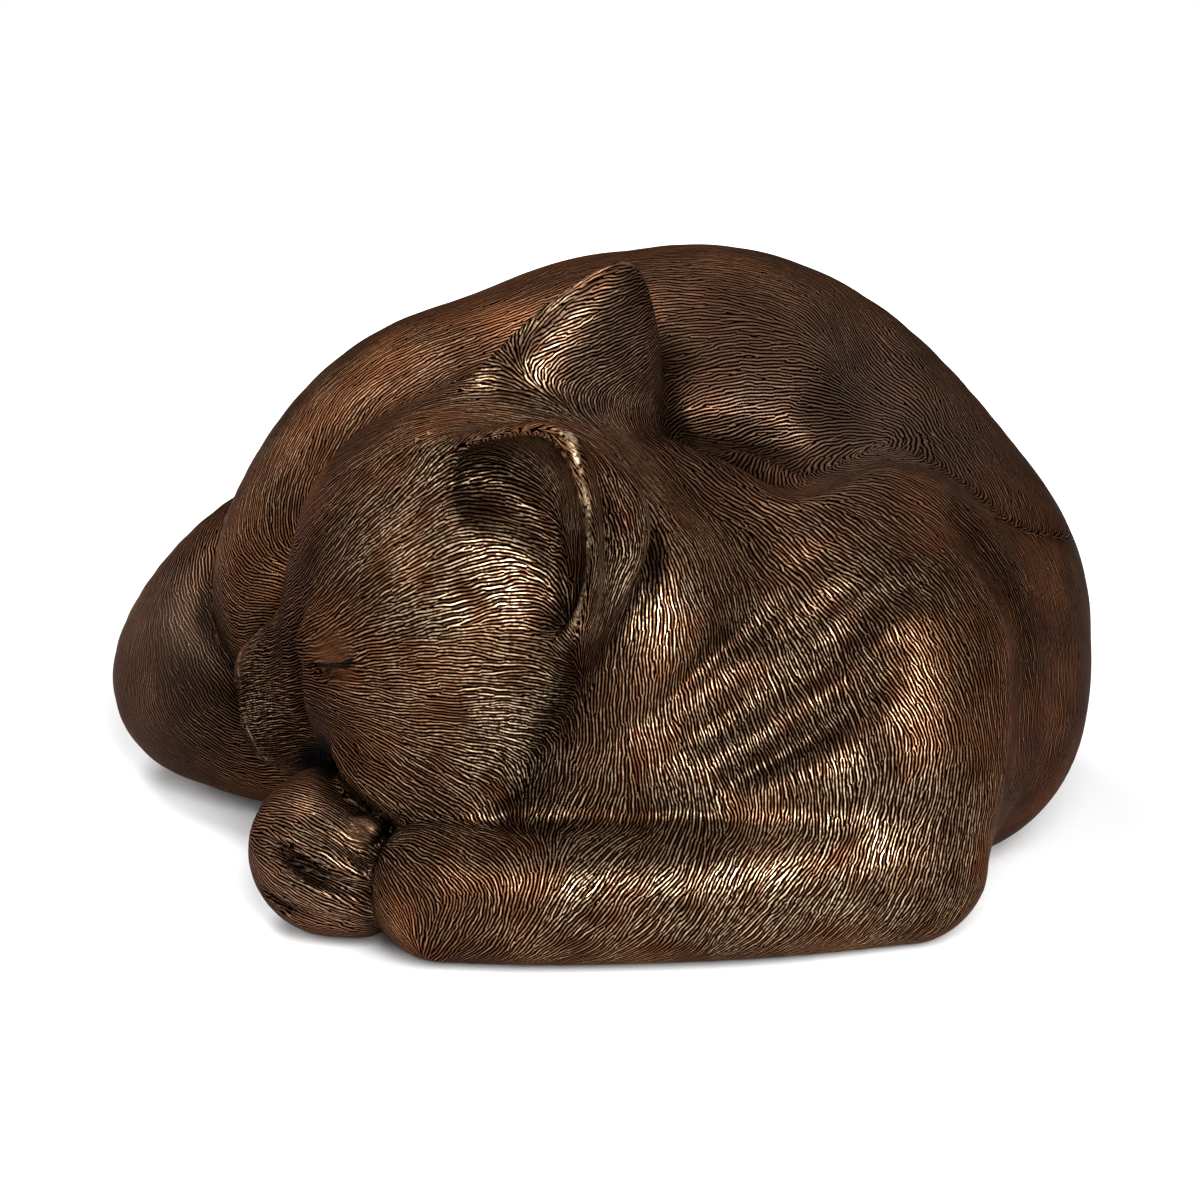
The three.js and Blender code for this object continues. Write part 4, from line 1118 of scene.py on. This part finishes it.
class STATUE_OT_stage(StatueOperator):
    """Set up the camera, the floor and soft studio light"""
    bl_idname = "statue.stage"
    bl_label = "Stage"

    def execute(self, context):
        scene = context.scene
        aim = Vector(np.array(CAMERA_AIM) * MM + sculpt_offset())
        tilt = math.radians(CAMERA_ELEVATION)
        lens = bpy.data.cameras.new("camera")
        lens.lens = CAMERA_LENS
        lens.sensor_width = CAMERA_SENSOR
        lens.shift_y = CAMERA_SHIFT
        camera = bpy.data.objects.new("camera", lens)
        camera.location = aim + Vector((0, -math.cos(tilt), math.sin(tilt))) * CAMERA_DISTANCE * MM
        camera.rotation_euler = (math.pi / 2 - tilt, 0, 0)
        scene.collection.objects.link(camera)
        scene.camera = camera
        scene.view_settings.view_transform = "Standard"
        self.floor(scene)
        for name, (offset, size, power) in LIGHTS.items():
            self.light(scene, name, aim, offset, size, power)
        self.world(scene)
        return {"FINISHED"}

    def floor(self, scene):
        mesh = bpy.data.meshes.new("floor")
        angles = np.linspace(0, 2 * math.pi, FLOOR_SIDES, endpoint=False)
        ring = [(FLOOR_RADIUS * math.cos(a), FLOOR_RADIUS * math.sin(a), 0) for a in angles]
        mesh.from_pydata(ring, [], [range(FLOOR_SIDES)])
        floor = bpy.data.objects.new("floor", mesh)
        paint = Paint("floor_paper")
        grain = paint.noise(300.0)
        reach = paint.vector("LENGTH", paint.place(), output="Value")
        seen = paint.node("ShaderNodeLightPath", {}, output="Is Camera Ray")
        glow = ((reach - FADE_START) / FADE_WIDTH).held() * seen
        paint.finish(Base_Color=paint.mix(grain, *PAPER), Roughness=0.9,
                     Emission_Color=paint.mix(glow, BLACK, WHITE), Emission_Strength=1.0)
        mesh.materials.append(paint.material)
        scene.collection.objects.link(floor)

    def light(self, scene, name, aim, offset, size, power):
        lamp = bpy.data.lights.new(name, "AREA")
        lamp.size = size
        lamp.energy = power
        light = bpy.data.objects.new(name, lamp)
        light.location = aim + Vector(offset)
        light.rotation_euler = Vector(offset).to_track_quat("Z", "Y").to_euler()
        scene.collection.objects.link(light)

    def world(self, scene):
        world = bpy.data.worlds.new("studio")
        world.use_nodes = True
        nodes = world.node_tree.nodes
        path = nodes.new("ShaderNodeLightPath")
        strength = nodes.new("ShaderNodeMapRange")
        strength.inputs["To Min"].default_value = ROOM_LIGHT
        strength.inputs["To Max"].default_value = 1.0
        world.node_tree.links.new(path.outputs["Is Camera Ray"], strength.inputs["Value"])
        world.node_tree.links.new(strength.outputs["Result"], nodes["Background"].inputs["Strength"])
        nodes["Background"].inputs["Color"].default_value = WHITE
        scene.world = world


class STATUE_PT_panel(bpy.types.Panel):
    """Lists the statue's settings and steps"""
    bl_idname = "STATUE_PT_panel"
    bl_label = "Cat garden statue"
    bl_space_type = "VIEW_3D"
    bl_region_type = "UI"
    bl_category = "Statue"

    def draw(self, context):
        for name in StatueSettings.__annotations__:
            self.layout.prop(context.scene.statue, name)
        for operator in OPERATORS:
            self.layout.operator(operator.bl_idname)


OPERATORS = [STATUE_OT_stage, STATUE_OT_castings, STATUE_OT_feet, STATUE_OT_screws, STATUE_OT_solids]
CLASSES = [StatueSettings, *OPERATORS, STATUE_PT_panel]


def register():
    for made in CLASSES:
        bpy.utils.register_class(made)
    bpy.types.Scene.statue = bpy.props.PointerProperty(type=StatueSettings)


def unregister():
    del bpy.types.Scene.statue
    for made in reversed(CLASSES):
        bpy.utils.unregister_class(made)


def main():
    register()
    bpy.ops.statue.stage()
    bpy.ops.statue.castings()
    bpy.ops.statue.feet()
    bpy.ops.statue.screws()
    bpy.ops.statue.solids()


if __name__ == "__main__":
    main()
